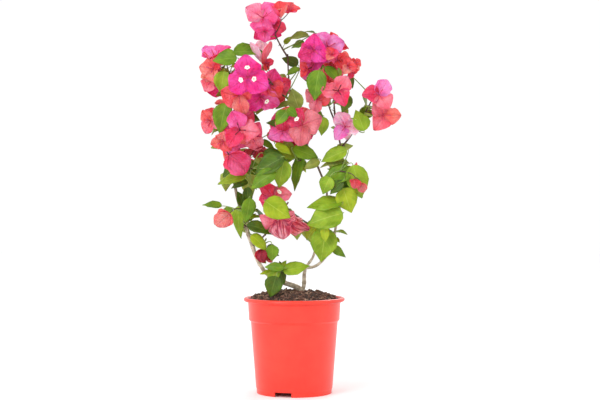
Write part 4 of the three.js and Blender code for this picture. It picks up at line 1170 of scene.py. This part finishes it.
# The tints that the photograph shows in each mass, leaves and then bracts, from the mass's top down
mass_tints = {
    "crown_tip": (("mid", "fresh"), ("magenta", "hot_pink", "rose", "magenta")),
    "upper_left": (("deep", "mid"), ("coral_pink", "magenta", "coral", "rose", "hot_pink", "coral_red")),
    "upper_middle_front": (
        ("mid", "fresh"), ("pale_pink", "magenta", "magenta", "coral_red", "magenta", "rose")),
    "upper_middle_back": (("mid", "deep"), ("hot_pink", "rose", "magenta", "coral_pink", "magenta")),
    "upper_right": (("mid", "fresh"), ("hot_pink", "hot_pink", "magenta", "coral_red", "coral", "rose")),
    "upper_right_front": (("mid", "fresh", "deep"), ("coral_pink", "rose", "coral")),
    "upper_right_back": (("mid", "deep"), ("rose", "coral_red", "hot_pink")),
    "right_outlier": (("mid", "fresh"), ("orchid", "rose", "orchid", "coral_pink")),
    "middle_left": (("deep", "mid"), ("coral", "coral_pink", "hot_pink", "crimson", "rose", "coral_pink")),
    "middle_right": (("mid", "olive", "fresh"), ("pale_pink", "orchid")),
    "middle_centre": (("mid", "fresh"), ("coral_pink", "rose", "coral_red", "hot_pink")),
    "middle_back": (("deep", "mid"), ("coral_pink", "rose", "magenta")),
    "leafy_left_front": (("mid", "deep", "fresh"), ("rose", "coral_red")),
    "leafy_left_back": (("mid", "deep"), ("coral", "hot_pink", "rose")),
    "leafy_centre": (("mid", "fresh"), ("coral",)),
    "leafy_right_front": (("fresh", "mid", "lime"), ("coral",)),
    "leafy_right_back": (("mid", "deep"), ("coral", "rose")),
    "low_right": (("lime", "fresh"), ("coral",)),
    "low_left": (("mid", "deep"), ("coral",)),
    "low_centre": (("lime", "deep", "mid"), ("hot_pink", "coral_pink", "rose", "hot_pink")),
    "low_back": (("mid", "deep"), ("rose", "coral")),
    "foot_left": (("mid", "lime", "deep"), ("crimson",)),
    "foot_front": (("deep", "mid"), ("coral",)),
}
# The tint that may stand beside each in a bloom
BRACT_NEIGHBOURS = {
    "magenta": "hot_pink", "deep_magenta": "magenta", "hot_pink": "magenta", "orchid": "hot_pink",
    "pale_pink": "orchid", "soft_pink": "pale_pink", "rose": "hot_pink", "coral_pink": "coral",
    "coral": "coral_pink", "coral_red": "rose", "dusty": "coral_pink", "striped": "coral_pink",
    "crimson": "coral_red",
}
# The seed of all draws outside the source's rule, the share of blooms beyond the table that have an open
# flower, and the blades' thickness in metres
SEED, STAR_SHARE = 915, 0.12
LEAF_THICKNESS, BRACT_THICKNESS = 0.0004, 0.0003
LEAF_ROUGHNESS, UNDERSIDE_ROUGHNESS = 0.46, 0.65
# How strongly painted shade darkens the creases of a bract and the pleats of a pleated one
CREASE_SHADE_STRENGTH, PLEAT_SHADE_STRENGTH = 0.38, 0.85

random = np.random.default_rng(SEED)
# The blades of each tint and the masses that they grow in, and what grows on stout stalks and on fine ones
blades_of = {kind + tint: [] for kind, tints in (("leaves_", leaf_tints), ("bracts_", bract_tints))
             for tint in tints}
masses_of = {name: set() for name in blades_of}
blooms, large, fine = [], list(shown), []


def deal(item, tints):
    """Puts a bloom's bracts or a leaf with the others of its tint."""
    kind = "bracts_" if item["is_bloom"] else "leaves_"
    for tint, *blade in zip(tints, *item["blades"][:4]):
        single = tuple(np.asarray(value)[None] for value in blade)
        blades_of[kind + tint].append((*single, item["blades"][4]))
        masses_of[kind + tint].add(item["mass"])
    if item["is_bloom"]:
        blooms.append(item)


for item in shown:
    deal(item, item["tints"])
for name in names:
    leaves, bracts = mass_tints[name]
    taken = [item["samples"] for item in shown + placed[name]]
    draws = np.random.default_rng([SEED, names.index(name)])
    more = finer_blooms(name, placed[name] + [o for o in shown if o["mass"] == name], taken, draws)
    small = finer_leaves(name, placed[name] + more, taken, draws)
    for i, item in enumerate([o for o in placed[name] if o["is_bloom"]] + more):
        tint = bracts[i % len(bracts)]
        item["stars"] = int(draws.random() < STAR_SHARE)
        deal(item, (tint, tint, BRACT_NEIGHBOURS[tint] if i % 2 else tint))
    for i, item in enumerate(o for o in placed[name] if not o["is_bloom"]):
        deal(item, (leaves[i % len(leaves)],))
    for i, item in enumerate(small):
        deal(item, (("fresh", leaves[0], leaves[-1], "lime")[i % 4],))
    large += placed[name]
    fine += more + small


def blade_piece(name, style, skins, slot, thickness):
    """The blades of one tint as a piece, which stands with others for the masses that it grows in."""
    places, faces, uv = drawn_blades(blades_of[name], style, random)
    thin_sheet(new_piece(name, places, faces, skins, slot, sorted(masses_of[name]), uv), thickness)


leaf_under = leaf_skin("waxy_leaf_underside", "#869E3E", "#9CB252", "#BCCC7C", UNDERSIDE_ROUGHNESS, 9)
for number, (tint, colours) in enumerate(leaf_tints.items()):
    skin = leaf_skin("waxy_leaf_" + tint, *colours, LEAF_ROUGHNESS, number)
    blade_piece("leaves_" + tint, leaf_style, [skin, leaf_under], "leaf", LEAF_THICKNESS)

for number, (tint, colours) in enumerate(bract_tints.items()):
    streaks = PLEAT_SHADE_STRENGTH if tint == "striped" else CREASE_SHADE_STRENGTH
    skin = bract_skin("papery_bract_" + tint, *colours, streaks, number + 5)
    blade_piece("bracts_" + tint, bract_style, [skin], "bract", BRACT_THICKNESS)


# Flowers: three slender tubes in each bloom, one before each bract, some open in a pale star

# A tube's length over its bract's, its radii from heart to end and its gap from the heart, mm
TUBE_LENGTH, TUBE_RADII, TUBE_START = 0.48, (0.65, 0.6, 0.55, 0.6, 0.85, 1.1, 0.65), 0.8
# A star's radius in mm, its corners round, its lobes and the depth of its throat over the radius. For each
# ring, its size and its height over the radius, and how far it follows the lobes
STAR_RADIUS, STAR_CORNERS, STAR_LOBES, THROAT_DEPTH = 4.7, 20, 5, 0.3
STAR_RINGS = np.array([(0.16, -0.25, 0), (0.42, 0.04, 0.2), (0.75, 0.1, 0.7), (1.0, 0.02, 1.0)])


def flower_tubes(items, random):
    """Paths and radii of the flowers' tubes. Each leaves the bloom's heart a little before its bract,
    bends towards the axis, and swells before its end."""
    paths = []
    for item in items:
        base, axes, length = item["blades"][:3]
        out = unit(0.62 * item["axis"] + 0.8 * axes[:, 0])
        reach = TUBE_LENGTH * length * random.uniform(0.85, 1.05, BRACTS)
        share = np.linspace(0, 1, len(TUBE_RADII))[None, :, None]
        start = base + out * TUBE_START
        lean = item["axis"] * reach[:, None] * 0.12
        paths.append(start[:, None] + out[:, None] * reach[:, None, None] * share + lean[:, None] * share**2)
    return np.concatenate(paths), np.tile(TUBE_RADII, (len(items) * BRACTS, 1))


def flower_stars(centres, facings, radius, random):
    """Open flowers as seen from the front: rings round a sunken throat, the outer one's radius swinging
    five times round to make five lobes that turn back a little. The throat is the first corner."""
    turn = even_turns(STAR_CORNERS)
    lobes = 0.9 + 0.1 * np.cos(STAR_LOBES * turn)
    size, lift, swing = STAR_RINGS.T[:, :, None]
    reach = size * radius * ((1 - swing) + swing * lobes)
    grid = np.stack(np.broadcast_arrays(reach * np.cos(turn), reach * np.sin(turn), lift * radius), axis=-1)
    flat = np.concatenate([[[0, 0, -THROAT_DEPTH * radius]], grid.reshape(-1, 3)])
    quads, fans = turned_over(ring_faces(len(STAR_RINGS), STAR_CORNERS))
    faces = [(group + 1) % len(flat) for group in (quads, fans[:STAR_CORNERS])]
    facings = unit(facings)
    side = unit(np.cross(facings, random.normal(size=facings.shape)))
    axes = np.stack([side, np.cross(facings, side), facings], axis=1)
    places = centres[:, None] + flat @ axes
    return places.reshape(-1, 3), repeated(faces, len(centres), len(flat))


# Flower tubes are downy, which takes their shine. Open stars are waxy and almost white, round a dull green
# throat.
tube_skin = woody_skin("downy_flower_tube", "#C02C56", "#E05A80", 3, 400.0)
dark_tube_skin = woody_skin("downy_dark_flower_tube", "#56141F", "#8A2A3C", 4, 400.0)
star_skin = strewn_skin("waxy_flower_star", "#F3EFD8", "#FFFDF2", 220.0, 2, 0.55, 0.2, 0.0003, {"IOR": 1.4})
throat_skin = strewn_skin("green_flower_throat", "#6E6A2E", "#A89C50", 300.0, 4, 0.6, 0.2, 0.0003)

tube_paths, tube_radii = flower_tubes(blooms, random)
places, faces = tubes(tube_paths * MM, tube_radii * MM, 6)
dark = np.repeat([item["stars"] < 0 for item in blooms], BRACTS)
dark = np.concatenate([np.repeat(dark, len(group) // len(dark)) for group in faces])
new_piece("flower_tubes", places, faces, [tube_skin, dark_tube_skin], "flower", tint=dark)

is_open = np.concatenate([np.arange(BRACTS) < item["stars"] for item in blooms])
ends = tube_paths[is_open, -1]
places, faces = flower_stars(ends * MM, unit(ends - tube_paths[is_open, -3]), STAR_RADIUS * MM, random)
throat = np.concatenate([np.zeros(len(faces[0]), int), np.ones(len(faces[1]), int)])
new_piece("flower_stars", places, faces, [star_skin, throat_skin], "flower", tint=throat)


# Shoots, stalks and thorns

# A stalk's radius, how much it tapers and how much it swells over the first fifth at its foot, mm, and its
# sides
LARGE_STALK, FINE_STALK = (0.95, 0.35, 0.3, 6), (0.62, 0.2, 0.2, 5)
# The range of a thorn's length in mm, the steps from one thorn to the next, and its radii from foot to tip
THORN_LENGTHS, THORN_SPACING, THORN_RADII = (4.5, 8.5), 6, (1.0, 0.72, 0.46, 0.24, 0.06)
# A drawn shoot's radius, taper and grain in mm, its steps, its sides and its knots
DRAWN_SHOOT_RADIUS, DRAWN_SHOOT_TAPER, SHOOT_GRAIN = 1.55, 0.55, 0.13
SHOOT_STEPS, SHOOT_SIDES, SHOOT_KNOTS = 40, 10, 6.5


def stalk_tubes(items, radius, taper, swelling, sides):
    """Stalks from foot to joint: a quadratic Bezier curve whose middle corner lies a lead behind the
    joint, raised by a tenth of the stalk's length."""
    ends = ([item[key] for item in items] for key in ("foot", "joint", "lead"))
    foot, joint, lead = (np.array(places)[:, None] for places in ends)
    share = np.linspace(0, 1, 9)
    t = share[None, :, None]
    length = np.linalg.norm(joint - foot, axis=-1, keepdims=True)
    corner = joint - lead + UP * 0.1 * length * np.exp(-length / 60)
    paths = (1 - t) ** 2 * foot + 2 * t * (1 - t) * corner + t**2 * joint
    radii = radius - taper * share + swelling * np.maximum(0, 1 - share / 0.2)
    return tubes(paths * MM, np.tile(radii, (len(items), 1)) * MM, sides)


def thorns(paths, radii, random):
    """Curved thorns along stems: cones, their middle corners bent back along the stem."""
    places = []
    for path, radius in zip(paths, radii):
        for k in range(4, len(path) - 3, THORN_SPACING):
            along = unit(path[k + 1] - path[k])
            away = unit(np.cross(along, random.normal(size=3)))
            length = random.uniform(*THORN_LENGTHS)
            root = path[k] + away * radius[k] * 0.5
            t = np.linspace(0, 1, len(THORN_RADII))[:, None]
            places.append(root + away * length * t - along * length * 0.22 * t**2)
    return np.array(places), np.tile(THORN_RADII, (len(places), 1))


# Leaf stalks keep their green skin. Shoots and bloom stalks have young bark, thin and purple-brown.
green_stalk = woody_skin("green_stalk", "#6E8A3C", "#93AA58", 1, 260.0)
young_bark = woody_skin("young_bark", "#46302A", "#6E5042", 2, 200.0)

leaf_stalks = stalk_tubes([item for item in large if not item["is_bloom"]], *LARGE_STALK)
bloom_stalks = stalk_tubes([item for item in large if item["is_bloom"]], *LARGE_STALK)
places, faces = joined([leaf_stalks, stalk_tubes(fine, *FINE_STALK)])
new_piece("leaf_stalks", places, faces, [green_stalk], "leaf", names)
new_piece("bloom_stalks", *bloom_stalks, [young_bark], "leaf", names)

shares = np.arange(SHOOT_STEPS + 1) / SHOOT_STEPS
shoot_paths = np.array([shoot_points(name, shares) for name in names])
knots = 1 + 0.22 * np.exp(-(((shares * SHOOT_KNOTS) % 1 - 0.5) / 0.09) ** 2)
shoot_radii = np.tile((DRAWN_SHOOT_RADIUS - DRAWN_SHOOT_TAPER * shares) * knots, (len(names), 1))
turn = even_turns(SHOOT_SIDES)
grain_places = np.stack(np.broadcast_arrays(
    np.cos(turn) * 2 + np.arange(len(names))[:, None, None] * 7, np.sin(turn) * 2,
    shares[:, None] * 22), axis=-1)
relief = SHOOT_GRAIN * MM * layered_noise(grain_places, 2, 3)
places, faces = tubes(shoot_paths * MM, shoot_radii * MM, SHOOT_SIDES, relief)
new_piece("shoots", places, faces, [young_bark], "bark", names)
thorn_paths, thorn_radii = thorns(shoot_paths, shoot_radii, random)
places, faces = tubes(thorn_paths * MM, thorn_radii * MM, 6)
new_piece("thorns", places, faces, [young_bark], "bark")


# Trunk and boughs, with the bark's relief

# A stem's sides, its steps in mm, the finer steps that measure a limb, and over how many steps a place and
# a radius are evened
STEM_SIDES, STEM_STEP, FINE_STEPS, EVENED_OVER = 28, 0.8, 400, 7
# Nodes along a stem: the first one's distance from its foot, the range of the distance to the next and the
# height of a swelling, mm, how far round an old leaf scar swells, and the swellings over the radius
FIRST_NODE, NODE_SPACING, NODE_HEIGHT, SCAR_TURN = 12.0, (18, 34), 1.8, 0.6
NODE_SWELLING, SCAR_SWELLING = 0.08, 0.22
# Ridges and grain: how many round the stem, their length along it in mm, and their height over the radius
RIDGES, RIDGE_LENGTH, RIDGE_HEIGHT = 1.6, 14, 0.11
GRAINS, GRAIN_LENGTH, GRAIN_HEIGHT = 4.5, 2.2, 0.07
# The heights in metres between which old bark gives way to young
OLD_BARK_TOP, YOUNG_BARK_FOOT = 0.25, 0.37


def travelled(places):
    """The distance along a line of places from its first to each."""
    return np.concatenate([[0], np.cumsum(np.linalg.norm(np.diff(places, axis=0), axis=1))])


def stem_path(parts):
    """Even steps along several limbs in turn, each place but the ends the mean of those round it, as
    places, radii and distances from the foot."""
    places, radii = [], []
    for name in parts:
        fine = smooth_path(limbs[name][0], np.linspace(0, 1, FINE_STEPS))
        length = travelled(fine)
        count = round(length[-1] / STEM_STEP)
        at = np.linspace(0, length[-1], count, endpoint=name == parts[-1])
        places.append(np.stack([np.interp(at, length, fine[:, k]) for k in range(3)], axis=-1))
        radii.append(limb_radius(name, at / length[-1]))
    places, radii = np.concatenate(places), np.concatenate(radii)
    window = np.ones(EVENED_OVER) / EVENED_OVER
    end = EVENED_OVER // 2
    padded = np.pad(places, ((end, end), (0, 0)), "edge")
    evened = np.stack([np.convolve(padded[:, k], window, "valid") for k in range(3)], axis=-1)
    evened[:end], evened[-end:] = places[:end], places[-end:]
    return evened, np.convolve(np.pad(radii, end, "edge"), window, "valid"), travelled(evened)


def stem(parts, seed, random):
    """A stem as a tube whose radius swells at nodes 18 to 34 mm apart, more on the side of the old leaf
    scar, over long ridges and a fine grain of layered noise."""
    places, radii, distance = stem_path(parts)
    turn = even_turns(STEM_SIDES)
    around = np.stack(np.broadcast_arrays(np.cos(turn), np.sin(turn), distance[:, None]), axis=-1)
    ridges = layered_noise(around * [RIDGES, RIDGES, 1 / RIDGE_LENGTH] + seed, 2, seed)
    grain = layered_noise(around * [GRAINS, GRAINS, 1 / GRAIN_LENGTH] + seed, 2, seed + 9)
    relief = radii[:, None] * (RIDGE_HEIGHT * ridges + GRAIN_HEIGHT * grain)
    at, side = FIRST_NODE, 0.0
    while at < distance[-1] - 6:
        ring = np.exp(-(((distance - at) / NODE_HEIGHT) ** 2))[:, None]
        scar = np.exp(-((((turn - side + np.pi) % (2 * np.pi) - np.pi) / SCAR_TURN) ** 2))
        relief = relief + ring * (NODE_SWELLING + SCAR_SWELLING * scar) * radii[:, None]
        at += random.uniform(*NODE_SPACING)
        side += GOLDEN_TURN
    rounding = np.sqrt(np.clip((distance[-1] - distance) / 1.2, 0.05, 1))
    return tubes(places[None] * MM, radii[None] * rounding * MM, STEM_SIDES, relief[None] * MM)


def aged_bark_skin():
    """Bougainvillea bark: corky and grey-tan on old wood near the foot, smoother and purple-brown on the
    boughs, in soft patches and without shine. The change follows the height."""
    material, tree = new_material("grey_corky_bark")
    old, grain = mottled(tree, "#9A8974", "#DACBB6", 150.0, 0)
    young = mottled(tree, "#4C362E", "#7D6152", 170.0, 3)[0]
    place = add_node(tree, "TexCoord")["Object"]
    height = add_node(tree, "SeparateXYZ", {"Vector": place})["Z"]
    age = add_node(tree, "MapRange", {"Value": height, "From Min": OLD_BARK_TOP, "From Max": YOUNG_BARK_FOOT})
    mixed = add_node(tree, "Mix", {"Factor": age["Result"], 6: old, 7: young}, data_type="RGBA")
    finish(tree, mixed[2], 0.8, (grain, 0.7, 0.0006))
    return material


places, faces = joined([
    stem(("trunk", "left_stem_lower", "left_stem_upper"), 1, random),
    stem(("upright_stem", "right_stem_lower", "right_stem_upper"), 2, random),
    stem(("centre_stem_lower", "centre_stem_upper"), 3, random),
])
new_piece("trunk_and_boughs", places, faces, [aged_bark_skin()], "bark", list(limbs))


# Potting mix: a heaped surface of crumbs, with loose chips on it

# The heap's distance from the pot's axis and its height, its lumps, the pot's wall, and the mix's rings,
# columns and flat underside, mm
SOIL_PROFILE = np.array([(0, 169), (26, 169), (46, 166.5), (64, 162), (75.4, 156)], float)
LUMP_WIDTH, LUMP_HEIGHT, POT_WALL = 13, 2.6, 76
SOIL_RINGS, SOIL_COLUMNS, SOIL_FLOOR = np.linspace(0.6, 75.3, 90), 160, 120
# How far from the axis chips lie, mm, and the crumbs of the mix to the metre
CHIPS_REACH, CRUMB_SCALE = 71, 420.0


def soil_height(x, y):
    """Height of the heap by its distance from the pot's axis, with lumps from layered noise that are
    lower at the wall."""
    radius = np.hypot(x, y)
    lumps = layered_noise(np.stack([x / LUMP_WIDTH, y / LUMP_WIDTH, np.zeros_like(x)], axis=-1), 4, 5)
    return np.interp(radius, *SOIL_PROFILE.T) + LUMP_HEIGHT * lumps * np.clip((POT_WALL - radius) / 8, 0.2, 1)


def soil_surface():
    """Rings of corners from the middle out to the wall, on the heap's height, and then down and back
    under it to a flat floor."""
    turn = even_turns(SOIL_COLUMNS)
    x = SOIL_RINGS[:, None] * np.cos(turn)
    y = SOIL_RINGS[:, None] * np.sin(turn)
    top = np.stack([x, y, soil_height(x, y)], axis=-1)
    low = top[-1:] * [0.96, 0.96, 0] + [0, 0, SOIL_FLOOR]
    poles = [[0, 0, soil_height(np.zeros(1), np.zeros(1))[0]], [0, 0, SOIL_FLOOR]]
    places = np.concatenate([top.reshape(-1, 3), low.reshape(-1, 3), poles])
    return places * MM, turned_over(ring_faces(len(SOIL_RINGS) + 1, SOIL_COLUMNS))


def chips(count, smallest, largest, flatness, random):
    """Lumps on the heap: a ball of 20 faces for each, its corners pushed in and out by draws, pressed
    flat and turned at random."""
    golden = (1 + math.sqrt(5)) / 2
    corners = np.array([(0, a, b * golden) for a in (-1, 1) for b in (-1, 1)])
    ball = unit(np.concatenate([corners, np.roll(corners, 1, axis=1), np.roll(corners, 2, axis=1)]))
    size_of_ball = len(ball)
    near = distances(ball, ball) < 1.1
    numbers = range(size_of_ball)
    faces = [(i, j, k) for i in numbers for j in numbers for k in numbers
             if i < j and i < k and near[i, j] and near[j, k] and near[k, i]
             and np.dot(np.cross(ball[j] - ball[i], ball[k] - ball[i]), ball[i]) > 0]
    size = random.uniform(smallest, largest, (count, 1, 1)) / 2
    shape = ball * random.uniform(0.7, 1.25, (count, size_of_ball, 1)) * [1, 0.6, flatness]
    axes = np.linalg.qr(random.normal(size=(count, 3, 3)) + 1.6 * np.eye(3))[0]
    axes = axes * np.sign(np.linalg.det(axes))[:, None, None]
    radius = CHIPS_REACH * np.sqrt(random.random(count))
    turn = random.random(count) * 2 * np.pi
    x, y = radius * np.cos(turn), radius * np.sin(turn)
    centre = np.stack([x, y, soil_height(x, y) + 0.15 * size[:, 0, 0]], axis=-1)
    places = centre[:, None] + (shape * size) @ axes
    return places.reshape(-1, 3) * MM, repeated([np.array(faces)], count, size_of_ball)


def peat_skin(name, dark, light, seed):
    """Moist peat and bark crumbs: dark, crumbly and without shine."""
    return strewn_skin(name, dark, light, CRUMB_SCALE, seed, 0.9, 0.9, 0.0015)


dark_peat = peat_skin("moist_peat", "#261A15", "#5C443A", 1)
brown_chip = peat_skin("bark_chip", "#4A3228", "#8A6452", 2)
pale_chip = peat_skin("pale_bark_chip", "#86634F", "#BE9C82", 3)
places, faces = soil_surface()
new_piece("potting_mix_heap", places, faces, [dark_peat], "potting_mix", ["potting_mix"])
for name, material, count, smallest, largest, flatness in (
    ("peat_crumbs", dark_peat, 900, 1.8, 5.0, 0.8),
    ("bark_chips", brown_chip, 420, 2.5, 9, 0.5),
    ("pale_bark_chips", pale_chip, 150, 2.5, 8, 0.4),
):
    places, faces = chips(count, smallest, largest, flatness, random)
    new_piece(name, places, faces, [material], "potting_mix", flat=True)


# Pot

# The profile's radius, height and how far each corner is eased, mm, from the underside's middle round the
# outside, over the lip and down the inside to the middle of the raised floor
POT_CORNERS = [
    (0, 8, 0), (60.8, 8, 0.6), (61.2, 0, 0.3), (62.8, 0, 0.5), (63.2, 7, 0.5), (64.2, 9.5, 1.0),
    (73, 119.5, 1.2), (76, 122.5, 1.2), (77.6, 152, 0.8), (83.5, 153.2, 1.6), (85, 156, 1.6),
    (84, 158.7, 1.4), (81, 160, 1.5), (77.6, 158.5, 1.5), (76, 152, 1.5), (74.4, 122, 1.0),
    (71.4, 118.5, 1.0), (62.6, 9.6, 1.0), (0, 9.6, 0),
]
# Columns round the pot, and the radius of its foot ring and one inside that, mm
POT_COLUMNS, FOOT_RING, INSIDE_FOOT_RING = 192, 62, 55
# The drain notches: how many, where the first is, half a notch's width and its height in mm
NOTCHES, NOTCH_TURN, NOTCH_HALF_WIDTH, NOTCH_HEIGHT = 3, math.radians(-107.2), 14, 7.5
# The turn that a notch's side takes between the foot and its top
NOTCH_SIDE = 0.002


def rounded_profile(corners):
    """The profile with each corner eased: a quadratic Bezier curve from the given distance before the
    corner to the same distance after it."""
    points = np.array(corners, float)[:, :2]
    rows = [points[:1]]
    for before, here, after, (_, _, ease) in zip(points, points[1:], points[2:], corners[1:-1]):
        start = here + unit(before - here) * min(ease, np.linalg.norm(before - here) / 2)
        end = here + unit(after - here) * min(ease, np.linalg.norm(after - here) / 2)
        t = np.linspace(0, 1, 5)[:, None]
        rows.append((1 - t) ** 2 * start + 2 * t * (1 - t) * here + t**2 * end)
    return np.concatenate(rows + [points[-1:]])


def pot_surface():
    """The profile turned about the pot's axis. Between the two sides of each drain notch the foot ring's
    corners are lifted to the notch's top."""
    profile = rounded_profile(POT_CORNERS)
    middles = NOTCH_TURN + even_turns(NOTCHES)
    half = math.asin(NOTCH_HALF_WIDTH / FOOT_RING)
    edges = np.concatenate([middles - half, middles - half + NOTCH_SIDE,
                            middles + half - NOTCH_SIDE, middles + half])
    turn = np.sort(np.concatenate([even_turns(POT_COLUMNS), edges % (2 * np.pi)]))
    nearest = np.abs((turn[:, None] - middles + np.pi) % (2 * np.pi) - np.pi).min(axis=1)
    cut = nearest < half - NOTCH_SIDE / 2
    radius, height = profile.T
    rows = (radius > INSIDE_FOOT_RING) & (height < NOTCH_HEIGHT)
    lifted = np.where(rows[:, None] & cut, NOTCH_HEIGHT, height[:, None])
    grid = np.stack([radius[:, None] * np.cos(turn), radius[:, None] * np.sin(turn), lifted], axis=-1)[1:-1]
    poles = [[0, 0, height[0]], [0, 0, height[-1]]]
    return np.concatenate([grid.reshape(-1, 3), poles]) * MM, ring_faces(len(grid), len(turn))


# Moulded polypropylene: bright coral red through and through, with a satin skin that blurs reflections
plastic = strewn_skin("moulded_polypropylene", "#EA301E", "#EE3824", 30.0, 6, 0.35, 0.1, 0.0004,
                      {"IOR": 1.49, "Coat Weight": 0.15, "Coat Roughness": 0.25})
places, faces = pot_surface()
new_piece("nursery_pot", places, faces, [plastic], "pot_plastic", ["pot"])


# Floor of matt white paper, which shows soft shadows and no reflections

bpy.ops.mesh.primitive_plane_add(size=12)
floor = bpy.context.object
floor.name = "floor"
floor.data.materials.append(strewn_skin("white_paper_floor", "#FDFDFD", "#FFFFFF", 8.0, 1, 0.85, 0.05, 0.001))
